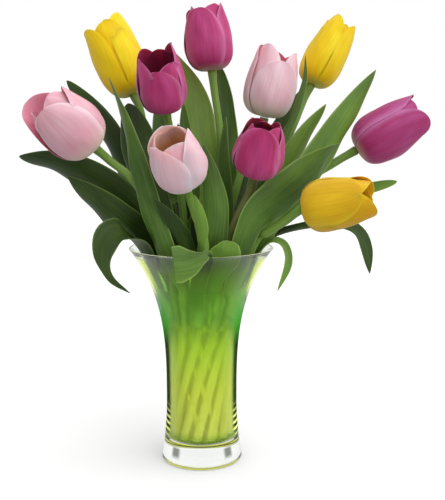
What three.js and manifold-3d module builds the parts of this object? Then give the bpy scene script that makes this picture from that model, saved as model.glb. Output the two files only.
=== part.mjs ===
// Ten cut tulips with their leaves, standing in water in a flared glass vase.
// Millimetres, +Z up. The origin is the centre of the vase's underside, +X is to the right
// and +Y is away from someone who looks at the front of the bouquet.
import * as THREE from "three";
import Module from "manifold-3d";

const wasm = await Module();
wasm.setup();

// Driving dimensions of the vase.
const VASE_HEIGHT = 203;
const WAIST_HEIGHT = 58;
const WAIST_RADIUS = 33.3;
const FOOT_FLARE = 5.3;
const RIM_FLARE = 34.2;
const RIM_FLARE_POWER = 3.15;
const WALL_AT_FOOT = 4;
const WALL_AT_RIM = 2.2;
const GLASS_FLOOR = 20;
const FLOOR_CORNER = 7;
const VASE_SIDES = 30;

// Driving dimensions of the water and the plants.
const WATER_LEVEL = 130;
const CLEARANCE = 0.35;
const STEM_RADIUS = 3.6;
const STEM_SIDES = 7;
const STEM_STEPS = 11;
const BLADE_THICKNESS = 0.9;
const LEAF_ROWS = [0, 0.09, 0.24, 0.42, 0.62, 0.82, 1];
const CURLED_LEAF_ROWS = [0, 0.1, 0.25, 0.4, 0.5, 0.6, 0.7, 0.8, 0.9, 1];
const LEAF_STRIPS = 4;
const NARROW_LEAF_STRIPS = 2;
const NARROW_LEAF_WIDTH = 25;

// The stems stand in a spiral: on the glass floor, through a narrow waist, then apart again.
const STEM_RING = { foot: 19.2, waist: 17.5, neck: 22 };
const STEM_WAIST_HEIGHT = 75;
const STEM_NECK_HEIGHT = 130;
const SPIRAL_TURN = 40;

const YELLOW = 0xf2cf12;
const MAGENTA = 0xb83a86;
const PINK = 0xecc0cf;
const LEAF_GREEN = 0x3f6b2c;
const STEM_GREEN = 0x7a9a3c;

const vector = (p) => new THREE.Vector3(...p);
const degrees = THREE.MathUtils.degToRad;
const smooth = THREE.MathUtils.smoothstep;
const mix = THREE.MathUtils.lerp;

// Solids and meshes.

function solidOf(geometry) {
  const plain = new THREE.BufferGeometry();
  plain.setAttribute("position", geometry.getAttribute("position"));
  plain.setIndex(geometry.index ?? [...Array(geometry.getAttribute("position").count).keys()]);
  const mesh = new wasm.Mesh({
    numProp: 3,
    vertProperties: new Float32Array(plain.getAttribute("position").array),
    triVerts: new Uint32Array(plain.index.array),
  });
  mesh.merge();
  return new wasm.Manifold(mesh);
}

function geometryOf(solid) {
  const mesh = solid.getMesh();
  const geometry = new THREE.BufferGeometry();
  geometry.setAttribute("position", new THREE.BufferAttribute(mesh.vertProperties, 3));
  geometry.setIndex(new THREE.BufferAttribute(mesh.triVerts, 1));
  geometry.computeVertexNormals();
  return geometry;
}

function namedMesh(name, geometry, color, roughness) {
  const material = new THREE.MeshStandardMaterial({ color, roughness, metalness: 0 });
  const mesh = new THREE.Mesh(geometry, material);
  mesh.name = name;
  return mesh;
}

function largestBody(solid) {
  const bodies = solid.decompose();
  return bodies.reduce((best, body) => (body.volume() > best.volume() ? body : best));
}

// A thin blade from surface(t, u), which gives a point and the normal there: t runs 0 to 1 from
// root to tip, at each of the rows, and u -1 to 1 across. Both faces are split into triangles alike.
function bladeGeometry(surface, rows, strips) {
  const positions = [];
  const steps = rows.length - 1;
  for (const side of [0.5, -0.5])
    for (const t of rows)
      for (let j = 0; j <= strips; j++) {
        const { point, normal } = surface(t, (2 * j) / strips - 1);
        positions.push(...point.addScaledVector(normal, side * BLADE_THICKNESS));
      }
  const row = strips + 1;
  const face = row * (steps + 1);
  const index = [];
  for (let i = 0; i < steps; i++)
    for (let j = 0; j < strips; j++) {
      const a = i * row + j;
      const [b, c, d] = [a + 1, a + row + 1, a + row];
      index.push(a, b, c, a, c, d);
      index.push(face + a, face + c, face + b, face + a, face + d, face + c);
    }
  const edge = [];
  for (let j = 0; j < strips; j++) edge.push(j);
  for (let i = 0; i < steps; i++) edge.push(i * row + strips);
  for (let j = strips; j > 0; j--) edge.push(steps * row + j);
  for (let i = steps; i > 0; i--) edge.push(i * row);
  edge.forEach((a, k) => {
    const b = edge[(k + 1) % edge.length];
    index.push(a, face + a, face + b, a, face + b, b);
  });
  const geometry = new THREE.BufferGeometry();
  geometry.setAttribute("position", new THREE.Float32BufferAttribute(positions, 3));
  geometry.setIndex(index);
  return geometry;
}

function bladeSolid(surface, rows, strips) {
  const geometry = bladeGeometry(surface, rows, strips);
  const solid = solidOf(geometry);
  if (solid.volume() > 0) return solid;
  const turned = geometry.index.array;
  for (let i = 0; i < turned.length; i += 3)
    [turned[i + 1], turned[i + 2]] = [turned[i + 2], turned[i + 1]];
  return solidOf(geometry);
}

// A closed lathe solid about +Z from [radius, height] pairs.
function latheGeometry(profile, sides) {
  const points = profile.map(([radius, height]) => new THREE.Vector2(radius, height));
  return new THREE.LatheGeometry(points, sides).rotateX(Math.PI / 2);
}

// The vase: clear moulded glass, thick at the foot and thin at the rim.

function vaseOuterRadius(z) {
  if (z < WAIST_HEIGHT) return WAIST_RADIUS + FOOT_FLARE * (1 - z / WAIST_HEIGHT) ** 2;
  const rise = (z - WAIST_HEIGHT) / (VASE_HEIGHT - WAIST_HEIGHT);
  return WAIST_RADIUS + RIM_FLARE * rise ** RIM_FLARE_POWER;
}

function vaseInnerRadius(z) {
  return vaseOuterRadius(z) - mix(WALL_AT_FOOT, WALL_AT_RIM, z / VASE_HEIGHT);
}

// The inside of the vase from the middle of its floor up to a height, a gap away from the glass.
function insideProfile(top, gap, steps) {
  const profile = [[0, GLASS_FLOOR + gap]];
  const cornerTop = GLASS_FLOOR + FLOOR_CORNER;
  const cornerRadius = vaseInnerRadius(cornerTop) - gap;
  for (const turn of [0, 45]) {
    const a = degrees(turn);
    const inward = FLOOR_CORNER * (1 - Math.sin(a));
    profile.push([cornerRadius - inward, cornerTop - (FLOOR_CORNER - gap) * Math.cos(a)]);
  }
  for (let i = 0; i <= steps; i++) {
    const z = mix(cornerTop, top, (i / steps) ** 0.8);
    profile.push([vaseInnerRadius(z) - gap, z]);
  }
  return profile;
}

function vaseGeometry() {
  const footRound = 1.5;
  const outside = [
    [0, 0],
    [vaseOuterRadius(0) - footRound, 0],
    [vaseOuterRadius(footRound), footRound],
  ];
  for (const z of [14, 36, 58, 105, 140, 165, 187])
    outside.push([vaseOuterRadius(z), z]);
  const rim = vaseOuterRadius(VASE_HEIGHT) - WALL_AT_RIM / 2;
  const lip = [40, 140].map((turn) => [
    rim + (WALL_AT_RIM / 2) * Math.cos(degrees(turn)),
    VASE_HEIGHT - WALL_AT_RIM / 2 + (WALL_AT_RIM / 2) * Math.sin(degrees(turn)),
  ]);
  const inside = insideProfile(VASE_HEIGHT - 6, 0, 6).reverse();
  return latheGeometry([...outside, ...lip, ...inside], VASE_SIDES);
}

// The tulips. Each has the place of its bloom's base and tip, the points its stem passes, the
// angle round the vase where its stem leaves the water, and the shape of its bloom.

const TULIPS = {
  yellow_left: {
    color: YELLOW, base: [-64, 28, 344], tip: [-92, 40, 410], slot: 156,
    via: [[-26, 6, 222], [-48, 14, 283]], width: 44, mouth: 0.86, roll: 75, open: { 2: 0.12 },
  },
  magenta_left: {
    color: MAGENTA, base: [-30, -18, 327], tip: [-37, -42, 378], slot: 228,
    via: [[-15, -12, 226], [-24, -14, 285]], width: 44, mouth: 0.68, roll: 265,
  },
  magenta_top: {
    color: MAGENTA, base: [11, 28, 365], tip: [4, 34, 427], slot: 120,
    via: [[22, 20, 246], [18, 21, 306]], width: 45, mouth: 0.72, roll: 245,
  },
  pink_top: {
    color: PINK, base: [59, 38, 323], tip: [72, 36, 391], slot: 84,
    via: [[27, 6, 236], [42, 18, 283]], width: 52, mouth: 0.62, roll: 285,
  },
  magenta_middle: {
    color: MAGENTA, base: [48, -38, 273], tip: [56, -62, 316], slot: 300,
    via: [[25, -30, 212]], width: 49, mouth: 0.6, roll: 262,
  },
  yellow_right: {
    color: YELLOW, base: [108, 56, 353], tip: [140, 71, 417], slot: 48,
    via: [[50, 18, 236], [84, 38, 306]], width: 43, mouth: 0.62, roll: 250,
  },
  magenta_right: {
    color: MAGENTA, base: [143, 8, 293], tip: [203, 4, 331], slot: 12,
    via: [[50, -4, 208], [92, 0, 244]], width: 49, mouth: 0.76, roll: 250,
  },
  pink_left: {
    color: PINK, base: [-90, -50, 296], tip: [-129, -77, 334], slot: 192,
    via: [[-32, -30, 209], [-54, -42, 262]], width: 53, mouth: 0.8, roll: 255,
  },
  pink_middle: {
    color: PINK, base: [-12, -60, 266], tip: [-23, -94, 308], slot: 264,
    via: [[5, -48, 205], [-3, -56, 237]], width: 51, mouth: 0.6, roll: 240,
  },
  yellow_low: {
    color: YELLOW, base: [88, -64, 242], tip: [143, -84, 254], slot: 336,
    via: [[50, -20, 198], [65, -35, 214], [76, -49, 228]], neck: 7,
    width: 46, mouth: 0.8, roll: 270,
  },
};

function bloomAxis({ base, tip }) {
  return vector(tip).sub(vector(base)).normalize();
}

// Stems.

function onRing(radius, angle, z) {
  return new THREE.Vector3(radius * Math.cos(degrees(angle)), radius * Math.sin(degrees(angle)), z);
}

function stemCurve(tulip) {
  const base = vector(tulip.base);
  const axis = bloomAxis(tulip);
  const end = base.clone().addScaledVector(axis, -CLEARANCE);
  return new THREE.CatmullRomCurve3(
    [
      onRing(STEM_RING.foot, tulip.slot - 2 * SPIRAL_TURN, GLASS_FLOOR - 2),
      onRing(STEM_RING.waist, tulip.slot - SPIRAL_TURN, STEM_WAIST_HEIGHT),
      onRing(STEM_RING.neck, tulip.slot, STEM_NECK_HEIGHT),
      ...tulip.via.map(vector),
      end.clone().addScaledVector(axis, -(tulip.neck ?? 18)),
      end,
    ],
    false,
    "catmullrom",
    0.5,
  );
}

function stemSection(radius) {
  const shape = new THREE.Shape();
  for (let i = 0; i < STEM_SIDES; i++) {
    const a = (2 * Math.PI * i) / STEM_SIDES;
    if (i === 0) shape.moveTo(radius, 0);
    else shape.lineTo(radius * Math.cos(a), radius * Math.sin(a));
  }
  shape.closePath();
  return shape;
}

function tubeSolid(curve, radius) {
  return solidOf(
    new THREE.ExtrudeGeometry(stemSection(radius), {
      extrudePath: curve,
      steps: STEM_STEPS,
      bevelEnabled: false,
    }),
  );
}

// Everything below the cut ends of the stems.
function belowCutEnds() {
  const box = new THREE.BoxGeometry(100, 100, 40);
  box.translate(0, 0, GLASS_FLOOR + CLEARANCE - 20);
  return solidOf(box);
}

// Leaves. A leaf clasps its stem at a height, its root, then leaves it for its own points. Its
// face lists where its hollow side looks, at even steps after the root and up to the tip.

const FRONT = [0, -1, 0.25];
const BACK = [0, 1, 0.25];

const LEAVES = {
  yellow_left_leaf_long: {
    on: "yellow_left", root: 160, width: 36, foot: 0.25, claspGap: CLEARANCE,
    face: [[0.1, 0.95, 0.3], [0.1, 0.7, 0.7]],
    points: [[-34, 3, 184], [-43, -5, 207], [-58, -16, 233], [-88, -27, 262], [-122, -36, 280],
      [-155, -46, 288]],
  },
  pink_left_leaf_low: {
    on: "pink_left", root: 160, width: 32, foot: 0.25, widest: 0.55,
    face: [[0.1, 0.95, 0.3], [0.1, 0.8, 0.6]],
    points: [[-40, -15, 188], [-51, -20, 212], [-76, -40, 237], [-112, -54, 271]],
  },
  pink_left_leaf_drooping: {
    on: "pink_left", root: 136, width: 31, foot: 0.3, widest: 0.55, curls: true,
    face: [[0.9, 0.45, 0.2], [0.4, 0, 0.9], [-0.4, -0.9, 0.3], [-0.6, -0.8, 0]],
    points: [[-35, -10, 158], [-45, -22, 184], [-54, -35, 206], [-63, -52, 220], [-75, -60, 220],
      [-84, -64, 204], [-77, -66, 187], [-60, -64, 174]],
  },
  yellow_left_leaf_upper: {
    on: "yellow_left", root: 180, width: 24,
    face: [[0.3, 0.9, 0.4], [0.2, 0.9, 0.5]],
    points: [[-38, 8, 206], [-56, 10, 240], [-72, 14, 278], [-92, 20, 316], [-127, 30, 357]],
  },
  yellow_left_leaf_dark: {
    on: "yellow_left", root: 205, width: 28,
    face: [BACK, BACK],
    points: [[-36, -9, 229], [-46, -11, 262], [-54, -3, 296], [-66, 8, 335]],
  },
  yellow_left_leaf_back: {
    on: "yellow_left", root: 226, width: 26,
    face: [FRONT, FRONT],
    points: [[-27, 21, 246], [-31, 29, 266], [-37, 40, 304], [-40, 48, 350]],
  },
  magenta_left_leaf_tall: {
    on: "magenta_left", root: 150, width: 21,
    face: [[0.2, 0.95, 0.2], [0.9, 0.4, 0.2]],
    points: [[-22, -34, 180], [-31, -50, 208], [-43, -56, 246], [-56, -52, 292], [-67, -40, 326],
      [-79, -28, 356]],
  },
  magenta_left_leaf_narrow: {
    on: "magenta_left", root: 212, width: 14,
    face: [FRONT, FRONT],
    points: [[-4, -18, 244], [-10, -16, 290], [-10, -8, 334]],
  },
  magenta_top_leaf_broad: {
    on: "magenta_top", root: 175, width: 36,
    face: [[0.2, -1, 0.2], [0.3, -1, 0.2]],
    points: [[4, 29, 205], [2, 36, 258], [-3, 40, 306], [-12, 44, 344], [-32, 48, 388]],
  },
  magenta_top_leaf_right: {
    on: "magenta_top", root: 200, width: 18,
    face: [FRONT, FRONT],
    points: [[21, 30, 240], [28, 34, 270], [30, 40, 312], [20, 50, 364]],
  },
  magenta_middle_leaf_narrow: {
    on: "magenta_middle", root: 178, width: 17, foot: 0.3,
    face: [[0.6, 0.8, 0], [0.6, 0.8, 0]],
    points: [[20, -16, 199], [22, -12, 222], [22, -13, 250], [20, -18, 286], [23, -16, 322]],
  },
  pink_middle_leaf_centre: {
    on: "pink_middle", root: 150, width: 26, foot: 0.25, channel: 0.8,
    face: [BACK, BACK],
    points: [[5, -22, 166], [9, -30, 183], [12, -39, 206], [14, -44, 240], [10, -43, 270],
      [3, -38, 298]],
  },
  pink_middle_leaf_small: {
    on: "pink_middle", root: 168, width: 17,
    face: [BACK, BACK],
    points: [[-9, -35, 187], [-14, -48, 214], [-25, -60, 236], [-38, -66, 253]],
  },
  pink_middle_leaf_folded: {
    on: "pink_middle", root: 133, width: 34, foot: 0.28, widest: 0.66, channel: 0.8, curls: true,
    face: [[0, 1, 0.1], [0, 0.8, 0.6], [0, -0.8, 0.6], [-0.2, -1, 0.1]],
    points: [[-4, -35, 151], [-6, -45, 173], [-6, -53, 192], [-6, -60, 206], [-9, -68, 210.5],
      [-16, -75, 200], [-23, -75, 181]],
  },
  pink_middle_leaf_clasping: {
    on: "pink_middle", root: 204, width: 10,
    face: [BACK, BACK],
    points: [[3, -61, 226], [1, -65, 240], [-4, -70, 257]],
  },
  magenta_middle_leaf_curled: {
    on: "magenta_middle", root: 147, width: 23, foot: 0.2, widest: 0.85, curls: true,
    face: [[0, 0.9, 0.1], [0, 0.9, 0.2], [0, 0.8, 0.6], [0, -0.4, 1]],
    points: [[16, -35, 164], [21, -43.5, 182], [24, -52, 199], [26, -56, 211], [27, -52, 217],
      [27, -47, 213]],
  },
  pink_top_leaf_thin: {
    on: "pink_top", root: 215, width: 12, claspGap: CLEARANCE,
    face: [[0.7, 0.7, 0], [0.7, 0.7, 0]],
    points: [[36, 1, 238], [56, 5, 268], [80, 11, 312], [95, 18, 352], [97, 20, 379]],
  },
  yellow_right_leaf_dark: {
    on: "yellow_right", root: 212, width: 22,
    face: [FRONT, FRONT],
    points: [[48, 30, 244], [66, 50, 292], [97, 70, 350]],
  },
  yellow_right_leaf_inner: {
    on: "yellow_right", root: 205, width: 17,
    face: [[-0.5, 0.9, 0.2], [-0.5, 0.9, 0.2]],
    points: [[48, 9, 224], [62, 6, 246], [82, 10, 272], [99, 16, 302], [117, 22, 335]],
  },
  yellow_right_leaf_behind: {
    on: "yellow_right", root: 160, width: 24,
    face: [[-0.6, -0.6, 0.5], [-0.5, -0.6, 0.6]],
    points: [[54, 34, 220], [90, 58, 256], [128, 74, 276]],
  },
  magenta_right_leaf_long: {
    on: "magenta_right", root: 158, width: 27, foot: 0.24, widest: 0.55,
    face: [[-0.2, 0.95, 0.2], [-0.3, 0.9, 0.2]],
    points: [[35, -7, 180], [42, -10, 198], [60, -15, 226], [86, -14, 256], [117, -6, 302],
      [160, 8, 365]],
  },
  magenta_right_leaf_low: {
    on: "magenta_right", root: 175, width: 17, foot: 0.3,
    face: [[-0.2, 0.3, 0.9], [-0.1, -0.8, 0.5]],
    points: [[48, 9, 200], [64, 13, 216], [95, 13, 235], [132, -4, 250], [176, -22, 265]],
  },
  yellow_low_leaf_wide: {
    on: "yellow_low", root: 142, width: 40, foot: 0.22, widest: 0.58, channel: 0.9,
    face: [[-0.6, 0.8, 0], [-0.25, 0.95, 0.2], [-0.2, 0.9, 0.4], [-0.2, 0.6, 0.8]],
    points: [[31, -33, 180], [40, -41, 207], [55, -48, 236], [76, -41, 255], [110, -30, 288],
      [124, -22, 299]],
  },
  magenta_right_leaf_drooping: {
    on: "magenta_right", root: 150, width: 20, foot: 0.3, curls: true,
    face: [[-0.9, 0, 0.3], [0, 0, 1], [0.2, -0.6, 0.8], [0.6, -0.8, 0]],
    points: [[44, 4, 174], [54, 3, 195], [66, -3, 212], [95, -17, 220], [124, -26, 222],
      [144, -31, 210], [153, -32, 182]],
  },
  yellow_low_leaf_trailing: {
    on: "yellow_low", root: 150, width: 10, foot: 0.5, curls: true,
    face: [[-0.9, 0.2, 0.3], [-0.5, -0.2, 0.9], [0.5, -0.6, 0.6], [0.6, -0.8, 0]],
    points: [[42, -5, 168], [50, -9, 189], [58, -15, 204], [69, -19, 212], [80, -20, 206],
      [82, -22, 188], [71, -25, 167]],
  },
  yellow_left_leaf_behind: {
    on: "yellow_left", root: 136, width: 28,
    face: [[0.4, -0.8, 0.3], [0.4, -0.8, 0.3]],
    points: [[-28, 19, 172], [-37, 28, 210], [-58, 50, 262], [-84, 72, 312]],
  },
  magenta_top_leaf_behind: {
    on: "magenta_top", root: 150, width: 30,
    face: [FRONT, FRONT],
    points: [[-6, 46, 210], [-14, 72, 262], [-22, 96, 318]],
  },
  pink_top_leaf_behind: {
    on: "pink_top", root: 150, width: 28,
    face: [[-0.3, -0.9, 0.3], [-0.3, -0.9, 0.3]],
    points: [[14, 30, 175], [25, 44, 212], [42, 76, 262], [64, 100, 300]],
  },
};

// The share of its full width that a leaf has: a good part at the root, full before the middle,
// then drawn out to its point.
function leafWidthShare(t, { widest = 0.42, foot = 0.4 }) {
  if (t < widest) return mix(foot, 1, smooth(t / widest, -0.25, 1));
  const towardsTip = (t - widest) / (1 - widest);
  return Math.max(0.05, (1 - towardsTip ** 1.9) ** 0.95);
}

function curvePointAtHeight(curve, z) {
  let low = 0;
  let high = 1;
  for (let i = 0; i < 30; i++) {
    const middle = (low + high) / 2;
    if (curve.getPointAt(middle).z < z) low = middle;
    else high = middle;
  }
  return low;
}

function leafSurface(leaf, stem) {
  const claspGap = leaf.claspGap ?? 3 * CLEARANCE;
  const claspRadius = STEM_RADIUS + claspGap + BLADE_THICKNESS / 2;
  const claspLength = 14;
  const at = curvePointAtHeight(stem, leaf.root);
  const root = stem.getPointAt(at);
  const along = stem.getTangentAt(at);
  const outward = vector(leaf.points[0]).sub(root);
  outward.addScaledVector(along, -outward.dot(along)).normalize();
  const above = stem.getPointAt(at + claspLength / stem.getLength());
  const path = new THREE.CatmullRomCurve3(
    [
      root.clone().addScaledVector(outward, claspRadius),
      above.addScaledVector(outward, claspRadius + 0.8),
      ...leaf.points.map(vector),
    ],
    false,
    "catmullrom",
    0.5,
  );
  const faces = [outward.clone().negate(), ...leaf.face.map((f) => vector(f).normalize())];
  const turns = faces.length - 1;
  const length = path.getLength();
  const channel = leaf.channel ?? 1.4;
  return (t, u) => {
    const point = path.getPointAt(t);
    const tangent = path.getTangentAt(t);
    const nth = Math.min(Math.floor(t * turns), turns - 1);
    const face = faces[nth].clone().lerp(faces[nth + 1], smooth(t * turns, nth, nth + 1));
    face.addScaledVector(tangent, -face.dot(tangent)).normalize();
    const across = new THREE.Vector3().crossVectors(face, tangent);
    const halfWidth = (leaf.width / 2) * leafWidthShare(t, leaf);
    const open = smooth(t * length, claspLength * 0.5, claspLength * 2.2);
    const bend = mix(1 / claspRadius, channel / leaf.width, open);
    const turn = Math.min(bend * halfWidth, 1.2) * u;
    point.addScaledVector(across, Math.sin(turn) / bend);
    point.addScaledVector(face, (1 - Math.cos(turn)) / bend);
    const normal = face.multiplyScalar(Math.cos(turn)).addScaledVector(across, -Math.sin(turn));
    return { point, normal };
  };
}

// Blooms. Three outer and three inner petals stand round a small receptacle. The outer ones are
// flatter across, so their edges stand off the inner ones.

const RECEPTACLE_RADIUS = 4.8;
const RECEPTACLE_HEIGHT = 4.4;
const LAYER_GAP = 2.6;
const OUTER_PETAL_ROWS = [0, 0.2, 0.42, 0.67, 0.88, 1];
const INNER_PETAL_ROWS = [0, 0.24, 0.55, 0.85, 1];
const WIDEST_TURN = degrees(57);
const TIP_ROUNDING = 0.09;

// Half the width of a petal along its length, as a share of the widest.
function petalWidthShare(t) {
  if (t < 0.5) return mix(0.3, 1, Math.sin(Math.PI * t) ** 0.9);
  return Math.max(0.34, (1 - ((t - 0.5) / 0.5) ** 2.8) ** 0.55);
}

// The bloom's side view: how far the middle of a petal stands from the axis, and how high.
function petalMidline(radius, mouth, length, isInner) {
  const lift = isInner ? 2.3 : 0;
  return new THREE.CubicBezierCurve(
    new THREE.Vector2(2.4, 1.2 + lift),
    new THREE.Vector2(radius * 1.42, lift - 0.04 * length),
    new THREE.Vector2(radius * (0.7 + 0.55 * mouth), 0.62 * length),
    new THREE.Vector2(radius * mouth, length),
  );
}

function petalSurface(tulip, k) {
  const isInner = k % 2 === 1;
  const outerRadius = tulip.width / 2.12;
  const radius = outerRadius - (isInner ? LAYER_GAP : 0);
  const mouth = tulip.mouth + (tulip.open?.[k] ?? 0);
  const length = vector(tulip.tip).distanceTo(vector(tulip.base));
  const midline = petalMidline(radius, mouth, length * (isInner ? 0.97 : 0.98), isInner);
  const angle = degrees(60 * k);
  const outward = new THREE.Vector3(Math.cos(angle), Math.sin(angle), 0);
  const sideways = new THREE.Vector3(-Math.sin(angle), Math.cos(angle), 0);
  const flatness = isInner ? 1.02 : 1.14;
  return (t, u) => {
    const along = t * (1 - TIP_ROUNDING * u * u * smooth(t, 0.6, 1));
    const middle = midline.getPointAt(along);
    const slope = midline.getTangentAt(along);
    const face = outward.clone().multiplyScalar(slope.y).setZ(-slope.x);
    const bend = Math.max(slope.y, 0.1) / (middle.x * flatness);
    const room = middle.x * WIDEST_TURN * mix(0.5, 1, smooth(middle.x, 4, 10));
    const turn = bend * Math.min(radius * petalWidthShare(t), room) * u;
    const point = outward.clone().multiplyScalar(middle.x).setZ(middle.y);
    point.addScaledVector(sideways, Math.sin(turn) / bend);
    point.addScaledVector(face, -(1 - Math.cos(turn)) / bend);
    const normal = face.multiplyScalar(Math.cos(turn)).addScaledVector(sideways, Math.sin(turn));
    return { point, normal };
  };
}

function bloomSolid(tulip) {
  const receptacle = [
    [0, 0],
    [RECEPTACLE_RADIUS - 1, 0],
    [RECEPTACLE_RADIUS, RECEPTACLE_HEIGHT],
    [0, RECEPTACLE_HEIGHT],
  ];
  let bloom = solidOf(latheGeometry(receptacle, 6));
  for (let k = 0; k < 6; k++) {
    const [rows, strips] = k % 2 ? [INNER_PETAL_ROWS, 3] : [OUTER_PETAL_ROWS, 4];
    bloom = bloom.add(bladeSolid(petalSurface(tulip, k), rows, strips));
  }
  return bloom;
}

// A pistil with its stigma and six stamens, joined on a small disc.
function bloomHeartSolid() {
  const discFloor = RECEPTACLE_HEIGHT + CLEARANCE;
  const discTop = discFloor + 1.2;
  const disc = [[0, discFloor], [3.3, discFloor], [3.3, discTop], [0, discTop]];
  const pistil = [[0, discTop - 0.8], [2.2, discTop - 0.8], [3.2, 22.4], [0, 23.6]];
  let heart = solidOf(latheGeometry(disc, 6)).add(solidOf(latheGeometry(pistil, 6)));
  const stamen = [[0, 0], [0.7, 0], [1.3, 12], [0, 17]];
  for (let k = 0; k < 6; k++) {
    const angle = degrees(60 * k + 30);
    const aside = new THREE.Vector3(Math.cos(angle), Math.sin(angle), 0);
    const from = aside.clone().multiplyScalar(2.5).setZ(discTop - 0.7);
    const to = aside.clone().multiplyScalar(6.4).setZ(20);
    const lean = new THREE.Quaternion().setFromUnitVectors(
      new THREE.Vector3(0, 0, 1),
      to.sub(from).normalize(),
    );
    const geometry = latheGeometry(stamen, 3).applyQuaternion(lean).translate(...from);
    heart = heart.add(solidOf(geometry));
  }
  return heart;
}

// Puts something modelled upright at the origin on its stem, facing along the bloom's axis.
function placeOnStem(mesh, tulip) {
  const axis = bloomAxis(tulip);
  const upright = new THREE.Vector3(0, 0, 1);
  const lean = new THREE.Quaternion().setFromUnitVectors(upright, axis);
  const spin = new THREE.Quaternion().setFromAxisAngle(upright, degrees(tulip.roll));
  mesh.quaternion.copy(lean.multiply(spin));
  mesh.position.copy(vector(tulip.base));
  return mesh;
}

// The whole bouquet.

function tulipMeshes() {
  const meshes = [];
  const below = belowCutEnds();
  const heart = geometryOf(bloomHeartSolid());
  for (const [name, tulip] of Object.entries(TULIPS)) {
    const stem = tubeSolid(stemCurve(tulip), STEM_RADIUS).subtract(below);
    meshes.push(namedMesh(name + "_stem", geometryOf(stem), STEM_GREEN, 0.5));
    const bloom = geometryOf(bloomSolid(tulip));
    meshes.push(placeOnStem(namedMesh(name + "_petals", bloom, tulip.color, 0.45), tulip));
    meshes.push(placeOnStem(namedMesh(name + "_pistil_stamens", heart, 0xc9c46a, 0.6), tulip));
  }
  return meshes;
}

function leafMeshes() {
  return Object.entries(LEAVES).map(([name, leaf]) => {
    const surface = leafSurface(leaf, stemCurve(TULIPS[leaf.on]));
    const strips = leaf.width < NARROW_LEAF_WIDTH ? NARROW_LEAF_STRIPS : LEAF_STRIPS;
    const blade = bladeSolid(surface, leaf.curls ? CURLED_LEAF_ROWS : LEAF_ROWS, strips);
    return namedMesh(name, geometryOf(blade), LEAF_GREEN, 0.5);
  });
}

// Water stands in the vase with a plain hole for each stem.
function waterMesh() {
  const profile = [...insideProfile(WATER_LEVEL, CLEARANCE, 4), [0, WATER_LEVEL]];
  let water = solidOf(latheGeometry(profile, VASE_SIDES));
  for (const tulip of Object.values(TULIPS))
    water = water.subtract(tubeSolid(stemCurve(tulip), STEM_RADIUS + CLEARANCE));
  return namedMesh("water", geometryOf(largestBody(water)), 0xbfe3b0, 0.05);
}

const bouquet = new THREE.Group();
bouquet.add(namedMesh("vase", geometryOf(solidOf(vaseGeometry())), 0x9ccb2e, 0.05));
bouquet.add(waterMesh(), ...tulipMeshes(), ...leafMeshes());

export default bouquet;
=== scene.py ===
# %% [markdown]
# # Cut tulips in a glass vase
# Ten tulips in three colours stand in water in a flared vase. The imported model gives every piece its
# place and plain form. This lesson rebuilds each piece finer around that frame, and then gives it the
# finish of the real thing: waxy leaves, silky petals, tinted glass and still water.

import math
import random

import bpy
import numpy as np
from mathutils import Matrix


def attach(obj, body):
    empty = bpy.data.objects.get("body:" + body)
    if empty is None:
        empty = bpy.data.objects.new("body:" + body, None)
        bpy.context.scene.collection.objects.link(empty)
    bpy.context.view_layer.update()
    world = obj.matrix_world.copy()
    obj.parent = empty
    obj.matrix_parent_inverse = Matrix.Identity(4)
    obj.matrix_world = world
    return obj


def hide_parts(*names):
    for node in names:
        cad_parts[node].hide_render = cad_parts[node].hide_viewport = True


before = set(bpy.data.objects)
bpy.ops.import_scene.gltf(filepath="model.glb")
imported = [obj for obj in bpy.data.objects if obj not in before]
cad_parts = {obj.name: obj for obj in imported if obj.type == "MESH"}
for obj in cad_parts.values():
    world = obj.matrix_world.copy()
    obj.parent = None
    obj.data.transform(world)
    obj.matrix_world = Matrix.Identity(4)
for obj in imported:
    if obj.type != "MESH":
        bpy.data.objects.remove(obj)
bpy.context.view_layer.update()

# %% [markdown]
# ## The camera
# The photo is a catalogue picture: a long lens looks slightly down on the bouquet from 0.7 m. The
# camera comes first, because each later step is judged through it. Its focal length was found in
# pixels of the photo, and is turned into the millimetres that Blender asks for.

# %% Camera
PHOTO_WIDTH = 445
PHOTO_HEIGHT = 500
FOCAL_PIXELS = 791
SENSOR_MM = 36
CAMERA_PLACE = (0.0199, -0.731, 0.304)
CAMERA_TILT = 81.9

camera_data = bpy.data.cameras.new("catalogue_camera")
camera_data.sensor_width = SENSOR_MM
camera_data.lens = FOCAL_PIXELS / max(PHOTO_WIDTH, PHOTO_HEIGHT) * SENSOR_MM
camera = bpy.data.objects.new("catalogue_camera", camera_data)
camera.location = CAMERA_PLACE
camera.rotation_euler = (math.radians(CAMERA_TILT), 0, 0)
bpy.context.scene.collection.objects.link(camera)
bpy.context.scene.camera = camera
print("lens:", round(camera_data.lens, 1), "mm")

# %% [markdown]
# ## Two helpers for materials
# Colours are written as sRGB hex values, as an eye or a paint chart gives them. The renderer works
# with linear light, so one function turns them. A second small function adds a node with its
# settings and links, and gives back the socket that the next node needs. A colour mix has sockets
# of its own, and a smooth rise is one setting of a map range, so both are named here once.

# %% Colour and node helpers
COLOUR_A, COLOUR_B = 6, 7
COLOUR_MIX = {"output": 2, "data_type": "RGBA"}
NUMBER_A, NUMBER_B = 2, 3
EASED = {"interpolation_type": "SMOOTHSTEP"}
TIMES = {"operation": "MULTIPLY"}
LARGER = {"operation": "MAXIMUM"}


def linear(hex_colour):
    """The linear colour of an sRGB hex value such as "#f2cf12"."""
    shares = [int(hex_colour[i : i + 2], 16) / 255 for i in (1, 3, 5)]
    return [s / 12.92 if s <= 0.04045 else ((s + 0.055) / 1.055) ** 2.4 for s in shares] + [1]


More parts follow.
